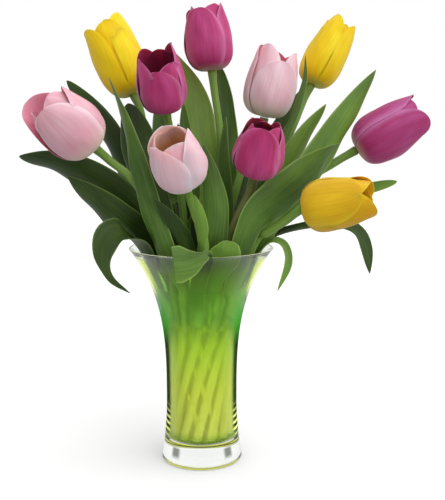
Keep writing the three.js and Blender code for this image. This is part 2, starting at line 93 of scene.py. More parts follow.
def add_node(owner, kind, inputs=(), output=0, **settings):
    """Adds a node with its settings, fills or links its inputs, and gives back one output.

    The inputs are a list in the order of the node's sockets, or go by their name or number.
    """
    node = owner.node_tree.nodes.new(kind)
    for name, value in settings.items():
        setattr(node, name, value)
    pairs = inputs.items() if isinstance(inputs, dict) else enumerate(inputs)
    for key, value in pairs:
        if isinstance(value, bpy.types.NodeSocket):
            owner.node_tree.links.new(value, node.inputs[key])
        else:
            node.inputs[key].default_value = value
    return node.outputs[output] if node.outputs else node


def new_material(name):
    material = bpy.data.materials.new(name)
    material.use_nodes = True
    material.node_tree.nodes.clear()
    return material


print("white is", linear("#ffffff"), "and mid grey is", [round(c, 3) for c in linear("#808080")])

# %% [markdown]
# ## The floor
# The bouquet stands on a sheet of white background paper: uncoated and matt, so it shows no gloss
# and only the soft shadow. A large plane does for it. It lies a hair under the vase, so that the two
# don't share one place, and neither lights the object nor shows in the glass: in the photo only the
# room does that.

# %% Floor
FLOOR_SIZE = 8
FLOOR_GAP = 0.0003

paper = new_material("white_background_paper")
surface = add_node(paper, "ShaderNodeBsdfPrincipled", {"Base Color": linear("#f3f3f3"), "Roughness": 0.8})
add_node(paper, "ShaderNodeOutputMaterial", [surface])
bpy.ops.mesh.primitive_plane_add(size=FLOOR_SIZE, location=(0, 0, -FLOOR_GAP))
floor = bpy.context.object
floor.name = "paper_floor"
floor.data.materials.append(paper)
floor.visible_diffuse = False
floor.visible_glossy = False
floor.visible_transmission = False
floor.visible_shadow = False
print("floor:", FLOOR_SIZE, "m wide")

# %% [markdown]
# ## The light
# The photo's room is bright and white on all sides, with a large soft light at the upper right. That
# could be built from many lamps, but a world that is brighter upwards and brightest towards the key
# light does the same with less noise. The petals stay round and no shadow turns black.

# %% Room and key light
ROOM_HEIGHTS = (-0.1, 0.9)
ROOM_LOW = 0.5
ROOM_HIGH = 0.95
KEY_DIRECTION = (0.6, -0.4, 0.69)
KEY_EDGES = (0.45, 1)
KEY_STRENGTH = 1.6

world = bpy.data.worlds.new("white_room")
world.use_nodes = True
world.node_tree.nodes.clear()
direction = add_node(world, "ShaderNodeTexCoord", output="Generated")
direction_parts = add_node(world, "ShaderNodeSeparateXYZ", [direction]).node.outputs
room_range = [direction_parts["Z"], *ROOM_HEIGHTS, ROOM_LOW, ROOM_HIGH]
room_light = add_node(world, "ShaderNodeMapRange", room_range, **EASED)
towards_key = add_node(
    world, "ShaderNodeVectorMath", [direction, KEY_DIRECTION], "Value", operation="DOT_PRODUCT"
)
key_light = add_node(world, "ShaderNodeMapRange", [towards_key, *KEY_EDGES, 0, KEY_STRENGTH], **EASED)
studio = add_node(world, "ShaderNodeMath", [room_light, key_light], operation="ADD")
print("room light:", ROOM_LOW, "to", ROOM_HIGH, "with a key light of", KEY_STRENGTH)

# %% [markdown]
# Glass shows what it mirrors. A photographer keeps dark cards beside the camera, so that glass and
# wax mirror little in front and the white wall behind. Mirror rays therefore meet a world that is
# dim in front and bright at the back. Rays that go straight on, to the eye or through the glass,
# meet the plain white of the sheet.

# %% What glass and wax mirror
FRONT_TO_BACK = (-0.3, 0.4)
REFLECTED_FRONT = 0.22
REFLECTED_BACK = 0.7
PLAIN_WHITE = 1.0

mirror_range = [direction_parts["Y"], *FRONT_TO_BACK, REFLECTED_FRONT, REFLECTED_BACK]
mirrored = add_node(world, "ShaderNodeMapRange", mirror_range, **EASED)
ray = add_node(world, "ShaderNodeLightPath").node.outputs
lit_or_mirrored = add_node(
    world, "ShaderNodeMix", {0: ray["Is Glossy Ray"], NUMBER_A: studio, NUMBER_B: mirrored}
)
never_mirrored = add_node(world, "ShaderNodeMath", [ray["Glossy Depth"], 0.5], operation="LESS_THAN")
straight_through = add_node(world, "ShaderNodeMath", [ray["Is Transmission Ray"], never_mirrored], **TIMES)
seen_through = add_node(
    world, "ShaderNodeMix", {0: straight_through, NUMBER_A: lit_or_mirrored, NUMBER_B: PLAIN_WHITE}
)
strength = add_node(
    world, "ShaderNodeMix", {0: ray["Is Camera Ray"], NUMBER_A: seen_through, NUMBER_B: PLAIN_WHITE}
)
room = add_node(world, "ShaderNodeBackground", [linear("#ffffff"), strength])
add_node(world, "ShaderNodeOutputWorld", [room])
bpy.context.scene.world = world
print("mirrored light:", REFLECTED_FRONT, "in front,", REFLECTED_BACK, "at the back")

# %% [markdown]
# Two low soft boxes, one at each side of the camera, lift the lower half of the vase and the
# undersides of the low blooms. A narrow spread keeps them off the floor, and they are left out of
# reflections, so that no square of light shows in the glass. The last lines suit thick tinted glass:
# enough bounces to pass both walls and the water, and no caustics, which would only add noise.

# %% Soft boxes
LAMP_PLACES = {"low_softbox_left": (-0.42, -0.38, 0.06), "low_softbox_right": (0.42, -0.38, 0.06)}
LAMP_SIZE = 0.3
LAMP_WATTS = 0.13
LAMP_SPREAD = math.radians(36)

for name, place in LAMP_PLACES.items():
    lamp_data = bpy.data.lights.new(name, "AREA")
    lamp_data.size = LAMP_SIZE
    lamp_data.energy = LAMP_WATTS
    lamp_data.spread = LAMP_SPREAD
    lamp = bpy.data.objects.new(name, lamp_data)
    lamp.location = place
    lamp.rotation_euler = (math.radians(90), 0, math.atan2(-place[0], place[1]) + math.pi)
    lamp.visible_camera = False
    lamp.visible_glossy = False
    lamp.visible_transmission = False
    bpy.context.scene.collection.objects.link(lamp)

scene = bpy.context.scene
scene.view_settings.view_transform = "Standard"
scene.cycles.use_denoising = True
scene.cycles.caustics_reflective = False
scene.cycles.caustics_refractive = False
scene.cycles.max_bounces = 14
scene.cycles.transmission_bounces = 12
scene.cycles.transparent_max_bounces = 24
print("soft boxes:", list(LAMP_PLACES))

# %% [markdown]
# ## Sizes
# The frame's vase is a lathe form: a waist low down, a small flare at the foot and a wide one at the
# rim. The fine vase repeats the same few driving dimensions, in millimetres, so it lies on the frame.
# A few small helpers follow, which the forms below use again and again: a mix of two values, a
# smooth rise, a direction of length one, and the vase's outer and inner radius at a height.

# %% Sizes of the vase and the plants
MM = 0.001

VASE_HEIGHT = 203
WAIST_HEIGHT = 58
WAIST_RADIUS = 33.3
FOOT_FLARE = 5.3
RIM_FLARE = 34.2
RIM_FLARE_POWER = 3.15
WALL_AT_FOOT = 4
WALL_AT_RIM = 2.2
GLASS_FLOOR = 20
FLOOR_CORNER = 7
FOOT_ROUND = 1.5

WATER_LEVEL = 130
CLEARANCE = 0.35
STEM_RADIUS = 3.6
print("vase:", VASE_HEIGHT, "mm tall; water up to", WATER_LEVEL, "mm")


# %% Helpers for forms
def mix(a, b, share):
    return a + (b - a) * share


def smooth(x, low, high):
    """Rises smoothly from 0 at low to 1 at high."""
    share = np.clip((x - low) / (high - low), 0, 1)
    return share * share * (3 - 2 * share)


def unit(vectors):
    vectors = np.asarray(vectors, float)
    return vectors / np.linalg.norm(vectors, axis=-1, keepdims=True)


def vase_outer(z):
    if z < WAIST_HEIGHT:
        return WAIST_RADIUS + FOOT_FLARE * (1 - z / WAIST_HEIGHT) ** 2
    share = (z - WAIST_HEIGHT) / (VASE_HEIGHT - WAIST_HEIGHT)
    return WAIST_RADIUS + RIM_FLARE * share**RIM_FLARE_POWER


def vase_inner(z):
    return vase_outer(z) - mix(WALL_AT_FOOT, WALL_AT_RIM, z / VASE_HEIGHT)


print("vase radius at foot and rim:", round(vase_outer(0), 1), round(vase_outer(VASE_HEIGHT), 1))

# %% [markdown]
# ## Meshes from plain arrays
# Petals and leaves are thin blades with a form that a formula gives best, so they are built as
# grids of points and not sculpted. One small store gathers the grids of a piece. It also keeps for
# each point where it lies on its blade: how far across, how far along and on which side, and the
# same in millimetres. The materials read this to lay veins, pale edges and a green foot. Every piece
# rides on the frame's one body, and hides the plain form that it stands for.

# %% Mesh store
class Store:
    """Points, faces and places on the blade of one piece, in millimetres."""

    def __init__(self):
        self.points = []
        self.faces = []
        self.blade = []
        self.blade_mm = []
        self.count = 0

    def add(self, points, faces, blade, blade_mm):
        """Adds a set of points, with faces that count from the set's first point."""
        self.points.append(np.reshape(points, (-1, 3)))
        self.blade.append(np.reshape(blade, (-1, 3)))
        self.blade_mm.append(np.reshape(blade_mm, (-1, 3)))
        self.faces += [tuple(i + self.count for i in face) for face in faces]
        self.count += len(self.points[-1])

    def piece(self, name, material, node, slot):
        """Makes the mesh object, and lets it stand for its node of the frame."""
        mesh = bpy.data.meshes.new(name)
        mesh.from_pydata((np.vstack(self.points) * MM).tolist(), [], self.faces)
        for title, values in (("blade", self.blade), ("blade_mm", self.blade_mm)):
            layer = mesh.attributes.new(title, "FLOAT_VECTOR", "POINT")
            layer.data.foreach_set("vector", np.vstack(values).astype(np.float32).ravel())
        mesh.polygons.foreach_set("use_smooth", [True] * len(mesh.polygons))
        mesh.materials.append(material)
        piece = bpy.data.objects.new(name, mesh)
        bpy.context.scene.collection.objects.link(piece)
        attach(piece, "root")
        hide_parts(node)
        return piece


# %% [markdown]
# A blade is a thin closed sheet: the same grid of points twice, half its thickness to each side, and
# a strip of faces round the edge. It could be one sheet with a Solidify modifier, but then its edge
# couldn't thin out.

# %% Blades
def grid_faces(rows, columns, first=0, flip=False):
    """Four-sided faces of a grid whose points count from first, row by row."""
    faces = []
    for i in range(rows - 1):
        for j in range(columns - 1):
            a = first + i * columns + j
            face = (a, a + 1, a + columns + 1, a + columns)
            faces.append(face[::-1] if flip else face)
    return faces


def add_blade(store, middle, normal, thickness, place, place_mm, upper_is_inner):
    """Adds a thin closed blade. Its two faces stand half the thickness off the middle grid.

    place holds how far across and along each point is, and place_mm its width, length and seed.
    """
    rows, columns = middle.shape[:2]
    count = rows * columns
    offset = normal * (thickness / 2)[..., None]
    points = np.concatenate([(middle + offset).reshape(-1, 3), (middle - offset).reshape(-1, 3)])
    faces = grid_faces(rows, columns) + grid_faces(rows, columns, count, flip=True)
    edge = list(range(columns))
    edge += [i * columns + columns - 1 for i in range(1, rows)]
    edge += [(rows - 1) * columns + j for j in range(columns - 2, -1, -1)]
    edge += [i * columns for i in range(rows - 2, 0, -1)]
    for a, b in zip(edge, edge[1:] + edge[:1]):
        faces.append((a, count + a, count + b, b))
    inner = [1.0, 0.0] if upper_is_inner else [0.0, 1.0]
    across, along = place
    blade = [np.stack([across, along, np.full_like(across, side)], -1) for side in inner]
    store.add(points, faces, np.array(blade), np.stack([np.stack(place_mm, -1)] * 2))


print("faces of a grid of 3 by 3 points:", len(grid_faces(3, 3)))

# %% [markdown]
# Round parts come from a lathe: a side view turned about the upright axis. A stem is made of rings
# too, so both share the faces between rings.

# %% Rings and lathe forms
def ring_faces(rows, sides, closed):
    """Faces between rings of points. An open row of rings gets a flat face at each end."""
    faces = []
    for i in range(rows if closed else rows - 1):
        for j in range(sides):
            a = i * sides + j
            b = i * sides + (j + 1) % sides
            up = ((i + 1) % rows - i) * sides
            faces.append((a, b, b + up, a + up))
    if not closed:
        faces.append(tuple(range(sides))[::-1])
        faces.append(tuple((rows - 1) * sides + j for j in range(sides)))
    return faces


def lathe(profile, sides, closed, squeeze=None):
    """Turns [radius, height] pairs about the upright axis. squeeze(angle) scales the radius."""
    profile = np.array(profile, float)
    angles = np.linspace(0, 2 * np.pi, sides, endpoint=False)
    scale = np.ones(sides) if squeeze is None else squeeze(angles)
    rings = np.stack(
        [
            profile[:, :1] * (np.cos(angles) * scale),
            profile[:, :1] * (np.sin(angles) * scale),
            np.repeat(profile[:, 1:], sides, axis=1),
        ],
        -1,
    )
    return rings, ring_faces(len(profile), sides, closed)


print("faces of 3 rings of 8 points:", len(ring_faces(3, 8, closed=False)))

# %% [markdown]
# ## Smooth routes
# Stems and leaves follow a smooth curve through a few points chosen from the photo. Blender's
# own curves would draw it, but the shapes below need its direction at any place. So the curve is a
# formula: it passes each point with the slope that the two neighbours give. Places on it are asked
# for by share of its length, so that steps along a leaf are even.

# %% Routes
ROUTE_SAMPLES = 500
HEIGHT_SEARCH_STEPS = 30


class Route:
    """A smooth curve through points. Places on it are shares of its length."""

    def __init__(self, points):
        points = np.array(points, float)
        self.knots = np.vstack([2 * points[0] - points[1], points, 2 * points[-1] - points[-2]])
        self.spans = len(points) - 1
        self.places = np.linspace(0, self.spans, ROUTE_SAMPLES)
        steps = np.linalg.norm(np.diff(self.evaluate(self.places), axis=0), axis=1)
        self.lengths = np.concatenate([[0], np.cumsum(steps)])
        self.length = self.lengths[-1]

    def evaluate(self, places, slope=False):
        """Points (or slopes) at places that count the spans from the start."""
        span = np.minimum(places.astype(int), self.spans - 1)
        w = (places - span)[:, None]
        before, start, end, after = (self.knots[span + k] for k in range(4))
        leave = (end - before) / 2
        arrive = (after - start) / 2
        square = -3 * start + 3 * end - 2 * leave - arrive
        cube = 2 * start - 2 * end + leave + arrive
        if slope:
            return leave + 2 * square * w + 3 * cube * w * w
        return start + leave * w + square * w * w + cube * w**3

    def places_at(self, shares):
        return np.interp(np.atleast_1d(shares) * self.length, self.lengths, self.places)

    def at(self, shares):
        return self.evaluate(self.places_at(shares))

    def direction(self, shares):
        return unit(self.evaluate(self.places_at(shares), slope=True))

    def share_at_height(self, z):
        """Where a route that only rises reaches the height z, found by halving."""
        low, high = 0.0, 1.0
        for _ in range(HEIGHT_SEARCH_STEPS):
            middle = (low + high) / 2
            if self.at(middle)[0, 2] < z:
                low = middle
            else:
                high = middle
        return low


print("a straight route of 10 mm measures", Route([(0, 0, 0), (0, 0, 10)]).length)

# %% [markdown]
# ## The tulips
# A florist stands tulips in a spiral: each stem leans, crosses its neighbours in the waist of the
# vase and leaves the rim on its own side. Each row gives where the bloom's foot and tip are, the
# points that the stem passes above the water, the angle (slot) where it leaves the water, and the
# bloom's width, how wide its mouth is open, and how far it is rolled about its stem. Each of its six
# petals has its own reach, and some open, widen, turn or curl more than the others.

# %% Places of the tulips
TULIPS = {
    "yellow_left": dict(
        kind="yellow", base=(-64, 28, 344), tip=(-92.5, 40, 411.5), slot=156,
        via=[(-26, 6, 222), (-48, 14, 283)], width=46, mouth=0.8, roll=92,
        petals={0: dict(reach=0.95), 1: dict(reach=0.9), 2: dict(reach=0.95, open=0.14, wide=1.08),
                3: dict(reach=0.95, open=0.02), 4: dict(reach=1.02, open=-0.04, wide=1.1),
                5: dict(reach=0.88)},
    ),
    "magenta_left": dict(
        kind="magenta", base=(-30, -18, 327), tip=(-37, -42, 378), slot=228,
        via=[(-15, -12, 226), (-24, -14, 285)], width=44, mouth=0.68, roll=265,
        petals={0: dict(reach=0.8, open=-0.06), 1: dict(reach=0.86, open=0.02, turn=-14),
                2: dict(reach=1.02), 3: dict(reach=0.92), 4: dict(reach=0.98),
                5: dict(reach=0.93, open=0.06)},
    ),
    "magenta_top": dict(
        kind="magenta", base=(10, 28, 366), tip=(2.7, 34, 428), slot=120,
        via=[(22, 20, 246), (18, 21, 306)], width=47, mouth=0.66, roll=247,
        petals={0: dict(reach=0.9, open=-0.02, wide=1.1), 1: dict(reach=0.95, open=-0.12),
                2: dict(reach=0.99, open=-0.04, wide=1.15), 3: dict(reach=1.0, open=-0.06),
                4: dict(reach=0.99, open=-0.04, wide=1.15), 5: dict(reach=0.97, open=-0.12)},
    ),
    "pink_top": dict(
        kind="pink", base=(60, 38, 323), tip=(74, 36, 391.5), slot=84,
        via=[(27, 6, 236), (42, 18, 283)], width=52, mouth=0.6, roll=280,
        petals={0: dict(reach=0.8, open=-0.02, wide=1.08), 1: dict(reach=0.93, open=0.1, curl=-1),
                2: dict(reach=0.9), 3: dict(reach=0.93), 4: dict(reach=0.96),
                5: dict(reach=0.97, open=-0.06)},
    ),
    "magenta_middle": dict(
        kind="magenta", base=(48, -38, 273), tip=(56, -62, 316), slot=300,
        via=[(25, -30, 212)], width=49, mouth=0.47, roll=258,
        petals={0: dict(reach=1.0, open=-0.04, wide=1.0), 1: dict(reach=1.0, open=-0.04),
                2: dict(reach=0.97, open=0.06), 3: dict(reach=0.9, open=-0.1),
                4: dict(reach=0.97, open=0.02), 5: dict(reach=0.97, open=-0.06)},
    ),
    "yellow_right": dict(
        kind="yellow", base=(106.5, 56, 355), tip=(138.5, 71, 418), slot=48,
        via=[(50, 18, 236), (84, 38, 306)], width=43, mouth=0.55, roll=222,
        petals={0: dict(reach=1.0, open=-0.08), 1: dict(reach=0.9, open=-0.05),
                2: dict(reach=0.97, open=0.12), 3: dict(reach=0.94), 4: dict(reach=0.95),
                5: dict(reach=0.93)},
    ),
    "magenta_right": dict(
        kind="magenta_violet", base=(144, 8, 292.5), tip=(204, 4, 328.5), slot=12,
        via=[(50, -4, 208), (96, 4, 261)], neck=24, width=49, mouth=0.72, roll=293,
        petals={0: dict(reach=0.98, wide=1.12), 1: dict(reach=0.95), 2: dict(reach=0.93),
                3: dict(reach=0.94), 4: dict(reach=0.99, open=-0.06, wide=1.1), 5: dict(reach=0.93)},
    ),
    # This bloom wears a darker copy of the pink, as painted shade.
    "pink_left": dict(
        kind="pink_rose", base=(-90, -50, 296), tip=(-129, -77, 334), slot=192,
        via=[(-32, -30, 209), (-54, -42, 262)], width=53, mouth=0.74, roll=255,
        petals={0: dict(reach=0.97, open=-0.12, wide=1.15, turn=14), 1: dict(reach=1.0, open=-0.32),
                2: dict(reach=0.91, open=-0.08, wide=1.12), 3: dict(reach=0.88, open=-0.1),
                4: dict(reach=1.03, open=0.12, wide=1.2, turn=-4), 5: dict(reach=0.97, open=-0.34)},
    ),
    "pink_middle": dict(
        kind="pink_apricot", base=(-12, -60, 266), tip=(-23, -94, 308), slot=264,
        via=[(5, -48, 205), (-3, -56, 237)], width=51, mouth=0.44, roll=230,
        petals={0: dict(reach=0.93, open=0.12, wide=1.12), 1: dict(reach=0.93, open=-0.06, wide=1.1),
                2: dict(reach=0.96, open=0.06), 3: dict(reach=0.93, wide=1.2),
                4: dict(reach=0.96, open=0.04, wide=1.2), 5: dict(reach=0.95, wide=1.15)},
    ),
    # This bloom wears a darker, more ochre copy of the yellow, as painted shade.
    "yellow_low": dict(
        kind="yellow_deep", base=(88, -64, 243.5), tip=(147, -85.5, 257.5), slot=336,
        via=[(48, -25, 208), (60, -38, 221), (73, -51, 231.5)], neck=3, width=51, mouth=0.3, roll=230,
        petals={0: dict(reach=0.88, open=0.3), 1: dict(reach=0.99, open=0.38, wide=1.1),
                2: dict(reach=0.86, open=0.2), 3: dict(reach=0.9, open=0.1), 4: dict(reach=0.95, open=0.16),
                5: dict(reach=0.95, open=0.12, wide=1.15)},
    ),
}

print("tulips:", len(TULIPS))

# %% [markdown]
# In the vase the stems stand on three rings: at the glass floor, in the waist and at the water. From
# ring to ring each one turns on by 40 degrees, which is what makes the spiral. The route starts 2 mm
# below the glass floor, and the stem is cut from it just above the floor, as scissors leave it. Its
# last part runs straight into the bloom, along the bloom's own axis.

# %% Routes of the stems
STEM_RING = {"foot": 19.2, "waist": 17.5, "neck": 22}
STEM_WAIST_HEIGHT = 75
STEM_NECK_HEIGHT = 130
SPIRAL_TURN = 40
ROUTE_START_HEIGHT = GLASS_FLOOR - 2
USUAL_NECK = 18


def bloom_axis(tulip):
    return unit(np.subtract(tulip["tip"], tulip["base"]))


def on_ring(radius, angle, z):
    return (radius * math.cos(math.radians(angle)), radius * math.sin(math.radians(angle)), z)


def stem_route(tulip):
    axis = bloom_axis(tulip)
    end = np.array(tulip["base"]) - axis * CLEARANCE
    slot = tulip["slot"]
    return Route(
        [
            on_ring(STEM_RING["foot"], slot - 2 * SPIRAL_TURN, ROUTE_START_HEIGHT),
            on_ring(STEM_RING["waist"], slot - SPIRAL_TURN, STEM_WAIST_HEIGHT),
            on_ring(STEM_RING["neck"], slot, STEM_NECK_HEIGHT),
            *tulip["via"],
            end - axis * tulip.get("neck", USUAL_NECK),
            end,
        ]
    )


ROUTES = {name: stem_route(tulip) for name, tulip in TULIPS.items()}
print("stems:", {name: round(route.length) for name, route in ROUTES.items()})

# %% [markdown]
# ## Waxy green leaves
# A tulip leaf is wet green tissue under a thin grey wax that scatters light softly, so its gloss is
# broad: a roughness near 0.42 with the usual 1.4 to 1.5 index of plant tissue. Veins run
# lengthwise, a little under a millimetre apart, and the margin is paler where the blade thins out.
# Where it clasps the stem low down, the blade has seen no light and is nearly white. The colour
# could be painted on an image, but it is built from the place on the blade here, so the veins
# follow each leaf round its bends. The four tones are painted light and shade: the same wax made
# darker for leaves in shade and lighter for leaves in light or against it.

# %% Places on a blade
def blade_place(material):
    """The three numbers that each point keeps: across, along, and its side."""
    place = add_node(material, "ShaderNodeAttribute", output="Vector", attribute_name="blade")
    return add_node(material, "ShaderNodeSeparateXYZ", [place]).node.outputs


def blade_noise(material, width_mm, length_mm, detail, roughness=0.5):
    """A pattern of soft spots of this width and length, which follows the blade."""
    place_mm = add_node(material, "ShaderNodeAttribute", output="Vector", attribute_name="blade_mm")
    scale = (1 / width_mm, 1 / length_mm, 1)
    sized = add_node(material, "ShaderNodeMapping", {"Vector": place_mm, "Scale": scale})
    look = {"Vector": sized, "Scale": 1, "Detail": detail, "Roughness": roughness}
    return add_node(material, "ShaderNodeTexNoise", look)


# %% Leaf finish
VEIN_SPACING_MM = 0.8
VEIN_LENGTH_MM = 60
VEIN_PALENESS = 0.22
VEIN_BAND = (0.45, 0.75)
MOTTLE_MM = 22
MOTTLE_LENGTH_MM = 55
MOTTLE_SPREAD = (0.3, 0.7)
MARGIN_START = 0.86
MARGIN_PALENESS = 0.65
LEAF_FOOT_COLOUR = "#d3e0ab"
LEAF_FOOT_START = 0.02
LEAF_FOOT_REACH = 0.26


def leaf_material(name, dark, fresh, margin):
    material = new_material(name)
    place = blade_place(material)
    veins = blade_noise(material, VEIN_SPACING_MM, VEIN_LENGTH_MM, detail=2)
    mottle = blade_noise(material, MOTTLE_MM, MOTTLE_LENGTH_MM, detail=3)
    tone = add_node(material, "ShaderNodeMapRange", [mottle, *MOTTLE_SPREAD])
    blend = {0: tone, COLOUR_A: linear(dark), COLOUR_B: linear(fresh)}
    body = add_node(material, "ShaderNodeMix", blend, **COLOUR_MIX)
    stripe = add_node(material, "ShaderNodeMapRange", [veins, *VEIN_BAND, 0, VEIN_PALENESS])
    blend = {0: stripe, COLOUR_A: body, COLOUR_B: linear(margin)}
    veined = add_node(material, "ShaderNodeMix", blend, **COLOUR_MIX)
    low = add_node(
        material, "ShaderNodeMapRange", [place["Y"], LEAF_FOOT_START, LEAF_FOOT_REACH, 1, 0], **EASED
    )
    blend = {0: low, COLOUR_A: veined, COLOUR_B: linear(LEAF_FOOT_COLOUR)}
    bleached = add_node(material, "ShaderNodeMix", blend, **COLOUR_MIX)
    across = add_node(material, "ShaderNodeMath", [place["X"]], operation="ABSOLUTE")
    rim = add_node(material, "ShaderNodeMapRange", [across, MARGIN_START, 1, 0, MARGIN_PALENESS], **EASED)
    blend = {0: rim, COLOUR_A: bleached, COLOUR_B: linear(margin)}
    edged = add_node(material, "ShaderNodeMix", blend, **COLOUR_MIX)
    bump = add_node(material, "ShaderNodeBump", {"Strength": 0.25, "Distance": 0.0002, "Height": veins})
    look = {"Base Color": edged, "Roughness": 0.42, "IOR": 1.45, "Normal": bump}
    surface = add_node(material, "ShaderNodeBsdfPrincipled", look)
    add_node(material, "ShaderNodeOutputMaterial", [surface])
    return material


# These tones are painted light and shade: dark is the deepest painted shade, bright the fullest painted
# light.
LEAF_FINISHES = {
    "dark": leaf_material("tulip_leaf_wax_painted_deep_shade", "#1f3210", "#38501a", "#66803c"),
    "mid": leaf_material("tulip_leaf_wax_painted_half_shade", "#34501a", "#527528", "#87a352"),
    "fresh": leaf_material("tulip_leaf_wax_painted_half_light", "#4c7024", "#6a9032", "#a0b762"),
    "bright": leaf_material("tulip_leaf_wax_painted_light", "#64872f", "#84a443", "#b2c678"),
}
print("leaf finishes:", list(LEAF_FINISHES))

# %% [markdown]
# ## Waxy stems
# A stem has the same wax over a round, juicy stalk. Low down and in the water it is nearly white,
# and it greens above the rim: partly the pale colour that a cut stem has low down, and partly
# painted light, which lifts the stems that the tinted glass keeps dim. Its fibres are finer than a
# pixel, so the streaks are drawn 1.6 mm wide, which is as coarse as they need to be to show. One
# stem in the photo is olive brown and has its own tone.

# %% Stem finish
STEM_STREAK_MM = 1.6
STEM_STREAK_LENGTH_MM = 53.33
STEM_STREAK_BAND = (0.4, 0.75)
STEM_STREAK_PALENESS = 0.25
STEM_STREAK_COLOUR = "#a9bd78"
STEM_GREENS = (0.34, 0.6)


def stem_material(name, low, high):
    material = new_material(name)
    place = blade_place(material)
    streaks = blade_noise(material, STEM_STREAK_MM, STEM_STREAK_LENGTH_MM, detail=2)
    rise = add_node(material, "ShaderNodeMapRange", [place["Y"], *STEM_GREENS], **EASED)
    blend = {0: rise, COLOUR_A: linear(low), COLOUR_B: linear(high)}
    body = add_node(material, "ShaderNodeMix", blend, **COLOUR_MIX)
    stripe = add_node(
        material, "ShaderNodeMapRange", [streaks, *STEM_STREAK_BAND, 0, STEM_STREAK_PALENESS]
    )
    blend = {0: stripe, COLOUR_A: body, COLOUR_B: linear(STEM_STREAK_COLOUR)}
    striped = add_node(material, "ShaderNodeMix", blend, **COLOUR_MIX)
    bump = add_node(material, "ShaderNodeBump", {"Strength": 0.3, "Distance": 0.0003, "Height": streaks})
    look = {"Base Color": striped, "Roughness": 0.4, "IOR": 1.45, "Normal": bump}
    surface = add_node(material, "ShaderNodeBsdfPrincipled", look)
    add_node(material, "ShaderNodeOutputMaterial", [surface])
    return material


# The pale low colour of each stem is partly painted light, for stems that sit dim behind the tinted glass.
STEM_FINISH = stem_material("tulip_stem_wax", "#f2f6d6", "#668a30")
OLIVE_STEM_FINISH = stem_material("tulip_stem_wax_olive", "#eef0cc", "#6f7338")
OLIVE_STEMS = ("magenta_middle",)
print("olive stems:", OLIVE_STEMS)

# %% [markdown]
# A stem could be a curve with a round bevel. It is a tube of rings here, because each point has to
# keep its place along the stem for the streaks and the pale foot. Real stems aren't drawn with a
# compass: the tube is up to 3.5% thicker and thinner on its way, and swells where the bloom sits.

# %% Stems
STEM_SIDES = 20
STEM_RINGS = 110
STEM_NECK_SWELL = 0.16
STEM_NECK_START = 0.965
STEM_UNEVENNESS = 0.035
STEM_UNEVEN_RATE = 21
STEM_CUT_HEIGHT = GLASS_FLOOR + 1
REFERENCE_DIRECTION = (0, 1, 0.2)


def stem_piece(name):
    route = ROUTES[name]
    start = route.share_at_height(STEM_CUT_HEIGHT)
    shares = np.linspace(start, 1, STEM_RINGS)
    centres = route.at(shares)
    ahead = route.direction(shares)
    side = unit(np.cross(ahead[0], REFERENCE_DIRECTION))
    wobble = random.Random(name).uniform(0, 6)
    angles = np.linspace(0, 2 * np.pi, STEM_SIDES, endpoint=False)
    rings = []
    for i in range(STEM_RINGS):
        side = unit(side - ahead[i] * np.dot(side, ahead[i]))
        other = np.cross(ahead[i], side)
        swell = 1 + STEM_NECK_SWELL * smooth(shares[i], STEM_NECK_START, 1)
        swell += STEM_UNEVENNESS * math.sin(shares[i] * STEM_UNEVEN_RATE + wobble)
        ring = np.outer(np.cos(angles), side) + np.outer(np.sin(angles), other)
        rings.append(centres[i] + ring * STEM_RADIUS * swell)
    around = np.tile(np.linspace(-1, 1, STEM_SIDES), (STEM_RINGS, 1))
    along = np.tile(shares[:, None], (1, STEM_SIDES))
    half_turn = math.pi * STEM_RADIUS
    place = np.stack([around, along, np.zeros_like(along)], -1)
    place_mm = np.stack(
        [np.abs(around) * half_turn, along * route.length, np.full_like(along, wobble * 10)], -1
    )
    store = Store()
    store.add(np.array(rings), ring_faces(STEM_RINGS, STEM_SIDES, closed=False), place, place_mm)
    finish = OLIVE_STEM_FINISH if name in OLIVE_STEMS else STEM_FINISH
    return store.piece(name + "_stalk", finish, name + "_stem", "stem")


stems = [stem_piece(name) for name in TULIPS]
print("stems made:", len(stems))

# %% [markdown]
# ## The leaves
# A tulip leaf clasps its stem at the root, then opens into a shallow channel and runs out to a
# point. Each row gives the stem, the height of the root, the blade's full width, where its hollow
# face looks on its way up, and the points it passes. Drooping and folded leaves only turn their
# face on the way. The width follows one usual outline, which foot, widest, blunt and tail change a
# little. A leaf whose outline is its own has a profile: pairs of how far along and how wide. The
# numbers come from the photo, and what covers what gives the depth.

# %% Places of the leaves
FRONT = (0, -1, 0.25)
BACK = (0, 1, 0.25)
